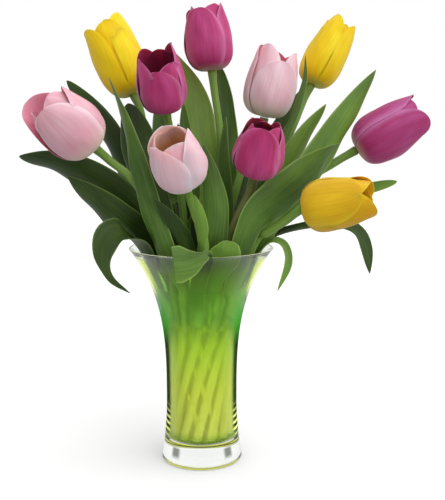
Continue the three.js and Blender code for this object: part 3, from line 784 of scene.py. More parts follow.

# Each row's tone picks a leaf finish of painted light or shade, by how that leaf is lit.
LEAVES = {
    "yellow_left_leaf_long": dict(
        on="yellow_left", root=160, width=36, foot=0.25, clasp_gap=CLEARANCE, blunt=3, tone="dark",
        face=[(0.1, 0.95, 0.3), (0.1, 0.7, 0.7)],
        points=[(-34, 3, 184), (-43, -5, 207), (-58, -16, 233), (-88, -27, 262), (-122, -36, 280),
                (-155, -46, 288)],
    ),
    "pink_left_leaf_low": dict(
        on="pink_left", root=160, width=32, foot=0.25, widest=0.55, tone="dark",
        face=[(0.1, 0.95, 0.3), (0.1, 0.8, 0.6)],
        points=[(-40, -15, 188), (-51, -20, 212), (-76, -40, 237), (-112, -54, 271)],
    ),
    "pink_left_leaf_drooping": dict(
        on="pink_left", root=136, width=33, foot=0.3, widest=0.55, tail=(0.68, 0.86, 0.4), tone="dark",
        face=[(0.9, 0.45, 0.2), (0.4, 0, 0.9), (-0.4, -0.9, 0.3), (-0.6, -0.8, 0)],
        points=[(-35, -10, 158), (-45, -22, 184), (-54, -35, 206), (-63, -52, 220), (-73.5, -60, 221),
                (-81.5, -64, 204), (-76, -66, 185.5), (-59.5, -64, 171.5)],
    ),
    "yellow_left_leaf_upper": dict(
        on="yellow_left", root=180, width=27, blunt=3, tone="dark",
        face=[(0.3, 0.9, 0.4), (0.2, 0.9, 0.5)],
        points=[(-38, 8, 206), (-56, 10, 240), (-72, 14, 278), (-92, 20, 316), (-127, 30, 357)],
    ),
    "yellow_left_leaf_dark": dict(
        on="yellow_left", root=205, width=36, widest=0.55, blunt=3, tone="dark",
        face=[BACK, BACK],
        points=[(-36, -9, 229), (-48, -11, 262), (-57, -3, 296), (-67, 8, 335)],
    ),
    "yellow_left_leaf_back": dict(
        on="yellow_left", root=226, width=26, tone="mid",
        face=[FRONT, FRONT],
        points=[(-27, 21, 246), (-31, 29, 266), (-37, 40, 304), (-40, 48, 350)],
    ),
    "magenta_left_leaf_tall": dict(
        on="magenta_left", root=150, width=21, tone="mid",
        face=[(0.2, 0.95, 0.2), (0.9, 0.4, 0.2)],
        points=[(-22, -34, 180), (-31, -50, 208), (-43, -56, 246), (-56, -52, 292), (-67, -40, 326),
                (-79, -28, 356)],
    ),
    "magenta_left_leaf_narrow": dict(
        on="magenta_left", root=212, width=16, tone="mid",
        face=[FRONT, FRONT],
        points=[(-5, -14, 244), (-12, -5, 290), (-16, 0, 337)],
    ),
    "magenta_top_leaf_broad": dict(
        on="magenta_top", root=175, width=36, tone="bright",
        face=[(0.2, -1, 0.2), (0.3, -1, 0.2)],
        points=[(4, 29, 205), (3, 36, 258), (-2, 40, 306), (-8.5, 44, 345), (-31, 48, 389)],
    ),
    "magenta_top_leaf_right": dict(
        on="magenta_top", root=200, width=20, blunt=3.5, tone="mid",
        face=[FRONT, FRONT],
        points=[(21, 30, 240), (24.5, 34, 270), (25, 40, 312), (17, 51, 372)],
    ),
    "magenta_middle_leaf_narrow": dict(
        on="magenta_middle", root=178, width=17, foot=0.3, tone="mid",
        face=[(0.6, 0.8, 0), (0.6, 0.8, 0)],
        points=[(20, -16, 199), (22, -12, 222), (22, -13, 250), (20, -18, 286), (23, -16, 322)],
    ),
    "pink_middle_leaf_centre": dict(
        on="pink_middle", root=150, width=26, foot=0.25, channel=0.8, tone="mid",
        face=[BACK, BACK],
        points=[(5, -22, 166), (8, -31, 183), (10.5, -40, 206), (14, -44, 240), (10, -43, 270),
                (3, -38, 298)],
    ),
    "pink_middle_leaf_small": dict(
        on="pink_middle", root=168, width=17, tone="dark",
        face=[BACK, BACK],
        points=[(-9, -35, 187), (-14, -48, 214), (-25, -60, 236), (-38, -66, 253)],
    ),
    "pink_middle_leaf_folded": dict(
        on="pink_middle", root=133, width=33, channel=0.7, tone="mid",
        profile=[(0, 0.3), (0.35, 0.45), (0.58, 0.4), (0.68, 0.24), (0.74, 0.2), (0.8, 0.34), (0.88, 0.72),
                 (0.95, 0.97), (1, 0.95)],
        face=[(0, 1, 0.1), (0, 1, 0), (0.1, 1, -0.1), (0.1, 1, -0.2)],
        points=[(-4, -35, 151), (-2, -45, 173), (3.5, -53, 192), (8, -61, 201.5), (7.5, -67.3, 206.6),
                (3, -71, 203.5), (-8, -73, 199.5), (-21, -75, 198)],
    ),
    "pink_middle_leaf_clasping": dict(
        on="pink_middle", root=204, width=10, tone="fresh",
        face=[BACK, BACK],
        points=[(3, -61, 226), (1, -65, 240), (-4, -70, 257)],
    ),
    "magenta_middle_leaf_curled": dict(
        on="magenta_middle", root=147, width=28, channel=0.8, tone="fresh",
        profile=[(0, 0.3), (0.3, 0.36), (0.55, 0.6), (0.74, 1), (0.8, 1), (0.9, 0.85), (0.96, 0.62),
                 (0.99, 0.35), (1, 0.15)],
        face=[(0, 0.9, 0.1), (0, 0.9, 0.2), (0, 0.9, 0.2)],
        points=[(9, -36, 164), (13, -44, 180), (19, -51.3, 196), (24, -55.5, 207), (25.5, -57.3, 216)],
    ),
    "pink_top_leaf_thin": dict(
        on="pink_top", root=215, width=12, clasp_gap=CLEARANCE, tone="mid",
        face=[(0.7, 0.7, 0), (0.7, 0.7, 0)],
        points=[(36, 1, 238), (56, 5, 268), (80, 11, 312), (95, 18, 352), (97, 20, 379)],
    ),
    "yellow_right_leaf_dark": dict(
        on="yellow_right", root=212, width=22, tone="mid",
        face=[FRONT, FRONT],
        points=[(48, 30, 244), (66, 50, 292), (97, 70, 350)],
    ),
    "yellow_right_leaf_inner": dict(
        on="yellow_right", root=205, width=25, tone="bright",
        face=[(-0.5, 0.9, 0.2), (-0.5, 0.9, 0.2)],
        points=[(48, 10.5, 224), (60, 8.5, 247), (78.5, 12.5, 274), (95.5, 17, 304), (117, 22, 335)],
    ),
    "yellow_right_leaf_behind": dict(
        on="yellow_right", root=160, width=24, tone="dark",
        face=[(-0.6, -0.6, 0.5), (-0.5, -0.6, 0.6)],
        points=[(54, 34, 220), (90, 58, 256), (128, 74, 276)],
    ),
    "magenta_right_leaf_long": dict(
        on="magenta_right", root=158, width=31, foot=0.24, widest=0.5, tone="fresh",
        face=[(-0.2, 0.95, 0.2), (-0.3, 0.9, 0.2)],
        points=[(35, -7, 180), (42, -10, 198), (61, -15, 226), (88, -14, 256), (118, -6, 302),
                (160, 8, 365)],
    ),
    "magenta_right_leaf_low": dict(
        on="magenta_right", root=175, width=17, foot=0.3, blunt=3.5, tone="fresh",
        face=[(-0.2, 0.3, 0.9), (-0.1, -0.8, 0.5)],
        points=[(48, 9, 200), (64, 13, 216), (95, 13, 235), (132, -4, 250), (176, -22, 265)],
    ),
    "yellow_low_leaf_wide": dict(
        on="yellow_low", root=142, width=40, channel=0.9, tone="mid",
        profile=[(0, 0.22), (0.2, 0.42), (0.35, 0.55), (0.45, 0.61), (0.52, 0.74), (0.62, 0.97), (0.7, 0.95),
                 (0.8, 0.81), (0.9, 0.53), (0.95, 0.32), (1, 0.02)],
        face=[(-0.6, 0.8, 0), (-0.25, 0.95, 0.2), (-0.2, 0.9, 0.4), (-0.2, 0.6, 0.8)],
        points=[(31, -33, 180), (37, -41, 207), (50, -47.5, 237), (75, -41, 256), (110, -30, 288),
                (124, -22, 299)],
    ),
    "magenta_right_leaf_drooping": dict(
        on="magenta_right", root=150, width=17, foot=0.3, widest=0.7, tone="dark",
        face=[(-0.9, -0.2, 0.3), (0, -0.35, 0.9), (0.2, -0.6, 0.8), (0.3, -1, 0.1)],
        points=[(44, 4, 174), (54, 3, 196), (66, -3, 213), (95, -17, 223), (121, -25, 227),
                (139, -29, 221), (148, -31, 206), (152, -32, 183)],
    ),
    "yellow_low_leaf_trailing": dict(
        on="yellow_low", root=150, width=11, foot=0.4, widest=0.6, tone="fresh",
        face=[(-0.9, 0.2, 0.3), (-0.5, -0.2, 0.9), (0.5, -0.6, 0.6), (0.6, -0.8, 0)],
        points=[(42, -6, 168), (50, -11, 189), (57, -17, 204), (66, -20, 211), (76, -20.5, 206),
                (79, -22, 190), (70, -25, 166)],
    ),
    "yellow_left_leaf_behind": dict(
        on="yellow_left", root=136, width=28, tone="dark",
        face=[(0.4, -0.8, 0.3), (0.4, -0.8, 0.3)],
        points=[(-28, 19, 172), (-37, 28, 210), (-58, 50, 262), (-84, 72, 312)],
    ),
    "magenta_top_leaf_behind": dict(
        on="magenta_top", root=150, width=36, tone="dark",
        face=[FRONT, FRONT],
        points=[(-8, 46, 210), (-20, 72, 262), (-26, 96, 318)],
    ),
    "pink_top_leaf_behind": dict(
        on="pink_top", root=150, width=28, tone="dark",
        face=[(-0.3, -0.9, 0.3), (-0.3, -0.9, 0.3)],
        points=[(14, 30, 175), (25, 44, 212), (42, 76, 262), (64, 100, 300)],
    ),
}
print("leaves:", len(LEAVES))

# %% [markdown]
# A leaf's middle line starts on its stem, and its blade is laid across that line. A flat strip bent
# by a Curve modifier would do for a plain leaf, but it couldn't clasp a stem or twist where it
# droops, so the outline and the line come first, as two functions.

# %% A leaf's outline and middle line
NARROWEST_SHARE = 0.02
TIP_ROUNDNESS = 1.9
CLASP_LENGTH = 14
SHEATH_SLACK = 0.8
BLADE_THICKNESS = 0.9


def leaf_width_share(t, widest=0.42, foot=0.4, blunt=2.3, tail=(2, 3, 1)):
    """The width at t as a share of the full width. A tail narrows from tail[0] to tail[1]."""
    rising = mix(foot, 1, smooth(t / widest, -0.25, 1))
    towards_tip = np.clip((t - widest) / (1 - widest), 0, 1)
    falling = np.maximum(NARROWEST_SHARE, (1 - towards_tip**blunt) ** (TIP_ROUNDNESS / blunt))
    share = np.where(t < widest, rising, falling)
    return share * mix(1, tail[2], smooth(t, tail[0], tail[1]))


def leaf_path(leaf):
    """The leaf's middle line, the direction away from its stem at its root, and its clasp radius."""
    stem = ROUTES[leaf["on"]]
    clasp_radius = STEM_RADIUS + leaf.get("clasp_gap", 3 * CLEARANCE) + BLADE_THICKNESS / 2
    at = stem.share_at_height(leaf["root"])
    root = stem.at(at)[0]
    upward = stem.direction(at)[0]
    outward = np.array(leaf["points"][0]) - root
    outward = unit(outward - upward * np.dot(outward, upward))
    above = stem.at(at + CLASP_LENGTH / stem.length)[0]
    path = Route(
        [root + outward * clasp_radius, above + outward * (clasp_radius + SHEATH_SLACK), *leaf["points"]]
    )
    return path, outward, clasp_radius


print("widths along a usual leaf:", leaf_width_share(np.linspace(0, 1, 5)).round(2))

# %% [markdown]
# The hollow face looks away from the stem at the root, and then turns smoothly through the
# directions of the leaf's row. A leaf could also be made flat and twisted by hand, but each of the
# 28 has its own twist, so it is written in the rows. The margin waves a little, because the edges
# of a tulip leaf grow longer than its middle. The wave is small near the root, where the blade is
# held by the stem.

# %% A leaf's turning face and waved margin
MARGIN_WAVE = 1.1
MARGIN_WAVE_LENGTH = 46
WAVED_HALF_WIDTH = 18
WAVE_OFFSET = 1.7
WAVE_SHARPNESS = 2.5


def leaf_face(leaf, outward, tangent, t):
    """Where the hollow face looks at each t, square to the middle line."""
    faces = np.vstack([-outward, unit(leaf["face"])])
    turns = len(faces) - 1
    nth = np.minimum((t * turns).astype(int), turns - 1)
    face = mix(faces[nth], faces[nth + 1], smooth(t * turns - nth, 0, 1)[:, None])
    return unit(face - tangent * np.sum(face * tangent, axis=1, keepdims=True))


def margin_wave(u, along_mm, half_width, open_share, phase):
    """How far each point of the blade stands off it. The two margins wave out of step."""
    both = np.where(u < 0, np.sin(phase), np.cos(phase))
    wave = np.sin(2 * np.pi * along_mm[:, None] / MARGIN_WAVE_LENGTH + phase + WAVE_OFFSET * both)
    wave_height = MARGIN_WAVE * (half_width / WAVED_HALF_WIDTH) * open_share
    return wave * wave_height[:, None] * np.abs(u) ** WAVE_SHARPNESS


# %% [markdown]
# Now the blade itself: bent round the stem at its root, then a channel as shallow as its row says.
# Rows of points crowd towards the tip, where the outline turns fastest, and columns towards the
# margins. The blade thins from 0.9 mm at the middle to 0.4 mm at the margin. A cloth simulation
# would bend it too, but a fresh tulip leaf is stiff and keeps its form. Leaves whose roots are low
# sit in the shade of the bunch and have the pale foot; higher ones start green.

# %% Leaves
LEAF_ROWS = 60
LEAF_COLUMNS = 17
LEAF_TIP_CROWDING = 1.35
LEAF_SHAPE_KEYS = ("widest", "foot", "blunt", "tail")
BLADE_EDGE = 0.4
BLADE_THINNING = 4
OPENING = (0.5 * CLASP_LENGTH, 2.2 * CLASP_LENGTH)
USUAL_CHANNEL = 1.4
WIDEST_CURL = 1.2
SHADED_ROOTS = (165, 200)


def leaf_piece(name, leaf):
    draw = random.Random(name)
    path, outward, clasp_radius = leaf_path(leaf)
    t = 1 - (1 - np.linspace(0, 1, LEAF_ROWS)) ** LEAF_TIP_CROWDING
    u = np.sin(np.linspace(-1, 1, LEAF_COLUMNS) * math.pi / 2)
    tangent = path.direction(t)
    face = leaf_face(leaf, outward, tangent, t)
    across = np.cross(face, tangent)
    if "profile" in leaf:
        share = np.interp(t, *np.transpose(leaf["profile"]))
    else:
        share = leaf_width_share(t, **{key: leaf[key] for key in LEAF_SHAPE_KEYS if key in leaf})
    half_width = leaf["width"] / 2 * share
    along_mm = t * path.length
    open_share = smooth(along_mm, *OPENING)
    bend = mix(1 / clasp_radius, leaf.get("channel", USUAL_CHANNEL) / leaf["width"], open_share)
    turn = np.minimum(bend * half_width, WIDEST_CURL)[:, None] * u
    aside = (np.sin(turn) / bend[:, None])[..., None] * across[:, None]
    inward = ((1 - np.cos(turn)) / bend[:, None])[..., None] * face[:, None]
    normal = np.cos(turn)[..., None] * face[:, None] - np.sin(turn)[..., None] * across[:, None]
    wave = margin_wave(u, along_mm, half_width, open_share, draw.uniform(0, 6))
    middle = path.at(t)[:, None] + aside + inward + normal * wave[..., None]
    foot_passed = LEAF_FOOT_REACH * smooth(leaf["root"], *SHADED_ROOTS)
    every = np.ones((LEAF_ROWS, LEAF_COLUMNS))
    thickness = mix(BLADE_THICKNESS, BLADE_EDGE, np.abs(u) ** BLADE_THINNING) * every
    place = (every * u, every * mix(foot_passed, 1, t)[:, None])
    seed = draw.uniform(0, 100)
    place_mm = (half_width[:, None] * u, every * along_mm[:, None], every * seed)
    store = Store()
    add_blade(store, middle, normal, thickness, place, place_mm, upper_is_inner=True)
    return store.piece(name + "_blade", LEAF_FINISHES[leaf["tone"]], name, "leaf")


leaves = [leaf_piece(name, leaf) for name, leaf in LEAVES.items()]
print("leaves made:", len(leaves))

# %% [markdown]
# ## Silky petals
# A petal's skin is a sheet of tiny cones that scatter light, so its gloss is weak and wide (roughness
# 0.5, half the usual mirror light, a breath of sheen). Light also passes through its 0.5 mm of flesh:
# a little subsurface light softens the shade in the cup, and more of it in the thin-fleshed apricot
# bloom, which glows from inside. The colour sits in the skin and runs in lengthwise streaks. Real
# streaks are about 0.3 mm wide, finer than a pixel, and are drawn at 0.9 mm to show. The colour
# pales to green at the foot, and the inside of the cup has its own. Seven tones serve for three
# colours of tulip, because the photo's light reaches the blooms unevenly: two blooms in shade wear
# darker copies of their colour, which are painted shade, and the apricot bloom's light inside is
# partly painted light.

# %% Petal finish
STREAK_MM = 0.9
STREAK_LENGTH_MM = 30
STREAK_BAND = (0.42, 0.72)
STREAK_STRENGTH = 0.42
FLUSH_MM = 14
FLUSH_LENGTH_MM = 40
FLUSH_SPREAD = (0.35, 0.7)
PETAL_RIM = (0.7, 1, 0, 0.6)
PETAL_FOOT_START = 0.06
FLESH_DEPTH = 0.0025
FLESH_REDNESS = (1.0, 0.6, 0.5)


def petal_material(name, body, light, edge, foot, shade, inside, throat, foot_reach,
                   throat_reach=(0.2, 0.8), flesh_light=0.3):
    material = new_material(name)
    place = blade_place(material)
    streaks = blade_noise(material, STREAK_MM, STREAK_LENGTH_MM, detail=3, roughness=0.6)
    flush = blade_noise(material, FLUSH_MM, FLUSH_LENGTH_MM, detail=2)
    flush_share = add_node(material, "ShaderNodeMapRange", [flush, *FLUSH_SPREAD])
    blend = {0: flush_share, COLOUR_A: linear(body), COLOUR_B: linear(light)}
    broad = add_node(material, "ShaderNodeMix", blend, **COLOUR_MIX)
    streak_share = add_node(material, "ShaderNodeMapRange", [streaks, *STREAK_BAND, 0, STREAK_STRENGTH])
    blend = {0: streak_share, COLOUR_A: broad, COLOUR_B: linear(shade)}
    streaked = add_node(material, "ShaderNodeMix", blend, **COLOUR_MIX)
    across = add_node(material, "ShaderNodeMath", [place["X"]], operation="ABSOLUTE")
    rim = add_node(material, "ShaderNodeMapRange", [across, *PETAL_RIM], **EASED)
    blend = {0: rim, COLOUR_A: streaked, COLOUR_B: linear(edge)}
    edged = add_node(material, "ShaderNodeMix", blend, **COLOUR_MIX)
    foot_range = [place["Y"], PETAL_FOOT_START, foot_reach, 1, 0]
    low = add_node(material, "ShaderNodeMapRange", foot_range, **EASED)
    blend = {0: low, COLOUR_A: edged, COLOUR_B: linear(foot)}
    outside = add_node(material, "ShaderNodeMix", blend, **COLOUR_MIX)
    deep = add_node(material, "ShaderNodeMapRange", [place["Y"], *throat_reach, 1, 0], **EASED)
    blend = {0: deep, COLOUR_A: linear(inside), COLOUR_B: linear(throat)}
    lining = add_node(material, "ShaderNodeMix", blend, **COLOUR_MIX)
    blend = {0: place["Z"], COLOUR_A: outside, COLOUR_B: lining}
    colour = add_node(material, "ShaderNodeMix", blend, **COLOUR_MIX)
    bump = add_node(material, "ShaderNodeBump", {"Strength": 0.25, "Distance": 0.0004, "Height": streaks})
    look = {
        "Base Color": colour,
        "Roughness": 0.5,
        "IOR": 1.4,
        "Specular IOR Level": 0.25,
        "Subsurface Weight": flesh_light,
        "Subsurface Scale": FLESH_DEPTH,
        "Subsurface Radius": FLESH_REDNESS,
        "Sheen Weight": 0.08,
        "Normal": bump,
    }
    surface = add_node(material, "ShaderNodeBsdfPrincipled", look)
    add_node(material, "ShaderNodeOutputMaterial", [surface])
    return material


# %% Tones of the petals
PETAL_FINISHES = {
    "yellow": petal_material(
        "tulip_petal_yellow", body="#efc406", light="#f6d30c", edge="#f4cf0c", foot="#c9c54a",
        shade="#d9a00c", inside="#e6b00a", throat="#c89a18", foot_reach=0.2,
    ),
    "magenta": petal_material(
        "tulip_petal_magenta", body="#ad2f68", light="#c14f88", edge="#d07ba8", foot="#c79a92",
        shade="#87224a", inside="#8c1c46", throat="#55102a", foot_reach=0.24,
    ),
    "pink": petal_material(
        "tulip_petal_pink", body="#e9b3bf", light="#f0cdd5", edge="#f5dbe2", foot="#e8e0c4",
        shade="#dd93a2", inside="#e0809a", throat="#c9627c", foot_reach=0.5,
    ),
    # The apricot colour of the inside is the bloom's own; its lightness in the closed cup is partly painted
    # light.
    "pink_apricot": petal_material(
        "tulip_petal_pink_apricot", body="#e7b2bd", light="#efc6cd", edge="#f7dde1", foot="#ecdfcb",
        shade="#e39fac", inside="#fbd0cb", throat="#ffbe8c", foot_reach=0.45, throat_reach=(0.62, 0.9),
        flesh_light=0.8,
    ),
    # A darker, more ochre copy of the yellow, as painted shade for the bloom low in the bunch.
    "yellow_deep": petal_material(
        "tulip_petal_yellow_painted_shade", body="#cfa00e", light="#deb418", edge="#e8c424", foot="#c4bc40",
        shade="#c18a0e", inside="#ecb818", throat="#dca41e", foot_reach=0.2,
    ),
    "magenta_violet": petal_material(
        "tulip_petal_violet_magenta", body="#a5306a", light="#b6508c", edge="#cb80b0", foot="#c79a92",
        shade="#7e2748", inside="#8c1c50", throat="#55102a", foot_reach=0.24,
    ),
    # A darker copy of the pink, as painted shade for a bloom at the shaded left of the bunch.
    "pink_rose": petal_material(
        "tulip_petal_pink_rose", body="#d79aa6", light="#e4b8c2", edge="#f3d6de", foot="#e4dabf",
        shade="#c97f90", inside="#e493aa", throat="#d58295", foot_reach=0.5,
    ),
}
print("petal finishes:", list(PETAL_FINISHES))

# %% [markdown]
# ## Blooms
# Six petals stand in two rings of three, the inner ones between the outer. Sixty petals could be
# sculpted one by one, but from one formula they stay of a kind, and each still gets its own reach,
# width and turn. A petal's middle line is one curve with four control points in the bloom's side
# view: out from the foot, up the side and in to the mouth.

# %% A petal's outline and side view
NARROWEST_PETAL = 0.45
PETAL_FULLNESS = 0.9
PETAL_BLUNTNESS = 2.5
INNER_LIFT = 1.6
PETAL_ROOT = (2.4, 1.2)
BELLY = 1.42
BELLY_DROP = 0.04
SHOULDER = (0.7, 0.55)
SHOULDER_HEIGHT = 0.62


def petal_width_share(t):
    rising = mix(NARROWEST_PETAL, 1, np.sin(np.pi * np.minimum(t, 0.5)) ** PETAL_FULLNESS)
    past = np.clip((t - 0.5) / 0.5, 0, 1)
    falling = np.maximum(NARROWEST_SHARE, (1 - past**PETAL_BLUNTNESS) ** 0.5)
    return np.where(t < 0.5, rising, falling)


class Midline:
    """The side view of a petal: radius and height, and their slopes, by share of its length."""

    def __init__(self, radius, mouth, tip_open, length, is_inner):
        lift = INNER_LIFT if is_inner else 0
        corners = np.array(
            [
                (PETAL_ROOT[0], PETAL_ROOT[1] + lift),
                (radius * BELLY, lift - BELLY_DROP * length),
                (radius * (SHOULDER[0] + SHOULDER[1] * mouth), SHOULDER_HEIGHT * length),
                (radius * (mouth + tip_open), length),
            ]
        )
        s = np.linspace(0, 1, ROUTE_SAMPLES)[:, None]
        weights = np.hstack([(1 - s) ** 3, 3 * s * (1 - s) ** 2, 3 * s * s * (1 - s), s**3])
        self.points = weights @ corners
        steps = np.linalg.norm(np.diff(self.points, axis=0), axis=1)
        self.shares = np.concatenate([[0], np.cumsum(steps)]) / steps.sum()
        self.slopes = unit(np.gradient(self.points, axis=0))

    def at(self, shares):
        radius, height = (np.interp(shares, self.shares, self.points[:, k]) for k in (0, 1))
        out, rise = (np.interp(shares, self.shares, self.slopes[:, k]) for k in (0, 1))
        return radius, height, out, rise


print("widths along a petal:", petal_width_share(np.linspace(0, 1, 5)).round(2))

# %% [markdown]
# The blade is bent round the bloom's own axis low down, and further up round an axis of its own that
# leans with it, so the tip stays round and doesn't crease. An outer petal is a little flatter than
# the cup. Its width is held back where two neighbours would meet.

# %% The bend of a petal
OUTER_FLATNESS = 0.97
FLATTEST_LOW = 0.6
FLATTEST_TIP = 0.95
FLATTENS = (0.3, 0.5)
TIP_FLATTENS = (0.6, 1)
LEANS = (0.3, 0.6)
WIDENS = (0.35, 0.7)
LEAST_RISE = 0.1
WIDEST_TURN = math.radians(62)
WIDEST_TO_RADIUS = 1.15
USUAL_WIDTH = 1.04


def bent_petal(t, u, side_view, angle, radius, wide, is_inner):
    """The petal's points, the way each looks outwards, and its angle round the bloom."""
    middle_radius, height, out, rise = side_view
    outward = np.array((math.cos(angle), math.sin(angle), 0))
    sideways = np.array((-math.sin(angle), math.cos(angle), 0))
    upward = np.array((0, 0, 1))
    flatness = 1.0 if is_inner else OUTER_FLATNESS
    flattest_tip = FLATTEST_LOW if is_inner else FLATTEST_TIP
    flattest = radius * smooth(t, *FLATTENS) * mix(FLATTEST_LOW, flattest_tip, smooth(t, *TIP_FLATTENS))
    lean = smooth(t, *LEANS)
    bend = mix(1, np.maximum(rise, LEAST_RISE), lean) / (np.maximum(middle_radius, flattest) * flatness)
    room = mix(middle_radius * WIDEST_TURN, radius * WIDEST_TO_RADIUS, smooth(t, *WIDENS))
    turn = bend * np.minimum(radius * wide * petal_width_share(t), room) * u
    face = outward * rise[..., None] - upward * out[..., None]
    centred = mix(outward, face, lean[..., None])
    level = mix(rise, 1, lean)[..., None]
    normal = face - (1 - np.cos(turn))[..., None] * centred * level
    normal = unit(normal + sideways * np.sin(turn)[..., None] * level)
    points = outward * middle_radius[..., None] + upward * height[..., None]
    inward = centred * ((1 - np.cos(turn)) / bend)[..., None]
    points += sideways * (np.sin(turn) / bend)[..., None] - inward
    return points, normal, angle + turn


# %% [markdown]
# What keeps six petals from looking cast in one mould is their relief: a soft furrow down the
# middle, waved edges, and shallow dents that run on from petal to petal, because all six were
# pressed together in the bud. One long edge of each lies over its neighbour.

# %% The relief of a petal
EDGE_WAVE = 0.7
EDGE_WAVE_RATE = 8
EDGE_WAVE_SHARPNESS = 3
EDGE_WAVES = (0.3, 0.7)
FURROW_DEPTH = 0.45
FURROW_WIDTH = 0.12
FURROW_FULLNESS = 0.7
OVERLAP_SHIFT = 0.45
OVERLAPS = (0.0, 0.25)
DENT_DEPTH = 0.45
DENTS_ROUND = 3
DENTS_UP = 0.11
SMALL_DENT_SHARE = 0.5
SMALL_DENTS_ROUND = 7
SMALL_DENTS_UP = 0.2
DENTS = (0.15, 0.5)
CURLS = (0.6, 1.05)


def petal_relief(t, u, around, height, phase, shared, curl):
    """How far each point stands out from the plain bent petal."""
    swing = np.sin(EDGE_WAVE_RATE * t + phase + 2 * np.sign(u))
    wave = EDGE_WAVE * np.abs(u) ** EDGE_WAVE_SHARPNESS * swing * smooth(t, *EDGE_WAVES)
    across_furrow = np.exp(-((u / FURROW_WIDTH) ** 2))
    furrow = FURROW_DEPTH * across_furrow * np.sin(np.pi * np.clip(t, 0, 1)) ** FURROW_FULLNESS
    dent = np.sin(DENTS_ROUND * around + shared) * np.sin(DENTS_UP * height + shared)
    small_dent = np.sin(SMALL_DENTS_ROUND * around + SMALL_DENTS_UP * height)
    dent = (dent + SMALL_DENT_SHARE * small_dent) * DENT_DEPTH * smooth(t, *DENTS)
    overlap = OVERLAP_SHIFT * u * smooth(t, *OVERLAPS)
    return wave - furrow + dent + overlap + curl * smooth(t, *CURLS) ** 2


# %% Petals
PETAL_ROWS = 40
PETAL_COLUMNS = 25
PETAL_TIP_CROWDING = 1.6
LONGEST_PETAL = 1.03
WIDTH_TO_RADIUS = 2.12
LAYER_GAP = 1.4
PETAL_TWIST = 2
PETAL_THICKNESS = 0.6
PETAL_EDGE = 0.25
TIP_THINS = (0.8, 1)
PETAL_THINNING = 3


def bloom_reach(tulip):
    """The length of the longest petal that the bloom may have."""
    return np.linalg.norm(np.subtract(tulip["tip"], tulip["base"])) * LONGEST_PETAL


def add_petal(store, tulip, k, draw, turn_to_place):
    is_inner = k % 2 == 1
    own = tulip["petals"][k]
    radius = tulip["width"] / WIDTH_TO_RADIUS - (LAYER_GAP if is_inner else 0)
    length = bloom_reach(tulip)
    end = own["reach"] / LONGEST_PETAL
    midline = Midline(radius, tulip["mouth"], own.get("open", 0), length, is_inner)
    angle = math.radians(60 * k + own.get("turn", 0) + draw.uniform(-PETAL_TWIST, PETAL_TWIST))
    rows = 1 - (1 - np.linspace(0, 1, PETAL_ROWS)) ** PETAL_TIP_CROWDING
    t, u = np.meshgrid(rows, np.sin(np.linspace(-1, 1, PETAL_COLUMNS) * math.pi / 2), indexing="ij")
    side_view = midline.at(t * end)
    wide = own.get("wide", USUAL_WIDTH)
    points, normal, around = bent_petal(t, u, side_view, angle, radius, wide, is_inner)
    phase = draw.uniform(0, 6)
    relief = petal_relief(t, u, around, side_view[1], phase, tulip["roll"], own.get("curl", 0))
    points += normal * relief[..., None]
    to_edge = np.maximum(np.abs(u), smooth(t, *TIP_THINS))
    thickness = mix(PETAL_THICKNESS, PETAL_EDGE, to_edge**PETAL_THINNING)
    place_mm = (radius * u, t * length, np.full_like(u, draw.uniform(0, 100)))
    middle = turn_to_place(points)
    facing_out = turn_to_place(normal, is_direction=True)
    add_blade(store, middle, facing_out, thickness, (u, t), place_mm, upper_is_inner=False)


# %% [markdown]
# A bloom is its six petals, turned onto the end of its stem. At their foot the six grow together on
# a small green receptacle. A closed cup there joins them, so that no light shows between their feet.

# %% Blooms
RECEPTACLE_RADIUS = 4.8
RECEPTACLE_FOOT = [(RECEPTACLE_RADIUS - 1.2, 0), (RECEPTACLE_RADIUS - 0.4, 0.6), (RECEPTACLE_RADIUS, 1.6)]
RECEPTACLE_SIDES = 24
CUP_SHARES = (0.08, 0.24)
CUP_RINGS = 9
CUP_INSET = 1.0


def placing(tulip):
    """A function that puts points made upright at the origin onto the tulip's stem."""
    axis = bloom_axis(tulip)
    upright = np.array((0, 0, 1.0))
    x, y, z = np.cross(upright, axis)
    skew = np.array([(0, -z, y), (z, 0, -x), (-y, x, 0)])
    lean = np.eye(3) + skew + skew @ skew / (1 + axis[2])
    roll = math.radians(tulip["roll"])
    sine, cosine = math.sin(roll), math.cos(roll)
    spin = np.array([(cosine, -sine, 0), (sine, cosine, 0), (0, 0, 1)])
    turned = lean @ spin

    def turn_to_place(points, is_direction=False):
        moved = points @ turned.T
        return moved if is_direction else moved + np.array(tulip["base"])

    return turn_to_place


def bloom_piece(name, tulip):
    draw = random.Random(name)
    turn_to_place = placing(tulip)
    store = Store()
    for k in range(6):
        add_petal(store, tulip, k, draw, turn_to_place)
    inner_radius = tulip["width"] / WIDTH_TO_RADIUS - LAYER_GAP
    cup = Midline(inner_radius, tulip["mouth"], 0, bloom_reach(tulip), is_inner=True)
    radius, height, _, _ = cup.at(np.linspace(*CUP_SHARES, CUP_RINGS))
    cup_side = list(zip(np.maximum(radius - CUP_INSET, RECEPTACLE_RADIUS), height))
    rings, faces = lathe(RECEPTACLE_FOOT + cup_side, RECEPTACLE_SIDES, closed=False)
    low = np.zeros(rings.shape)
    store.add(turn_to_place(rings), faces, low, low)
    colour = tulip["kind"].split("_")[0]
    return store.piece(name + "_bloom", PETAL_FINISHES[tulip["kind"]], name + "_petals", colour + "_petal")


blooms = [bloom_piece(name, tulip) for name, tulip in TULIPS.items()]
print("blooms made:", len(blooms))

# %% [markdown]
# ## Pistil and stamens
# In the cup stand a pale green three-sided pistil with a lobed stigma, and six stamens whose
# anthers are dark with pollen. They only show in the open blooms, yet a bloom seen from above
# without them would look hollow. The tissue is moist but matt beside the petals, and pollen is dry
# dust, so one roughness of 0.65 serves both. Pollen is far finer than a pixel: its grain is drawn
# about 1 mm wide, as coarse as it needs to show.

# %% Finish of the flower hearts
POLLEN_GRAINS_PER_METRE = 900

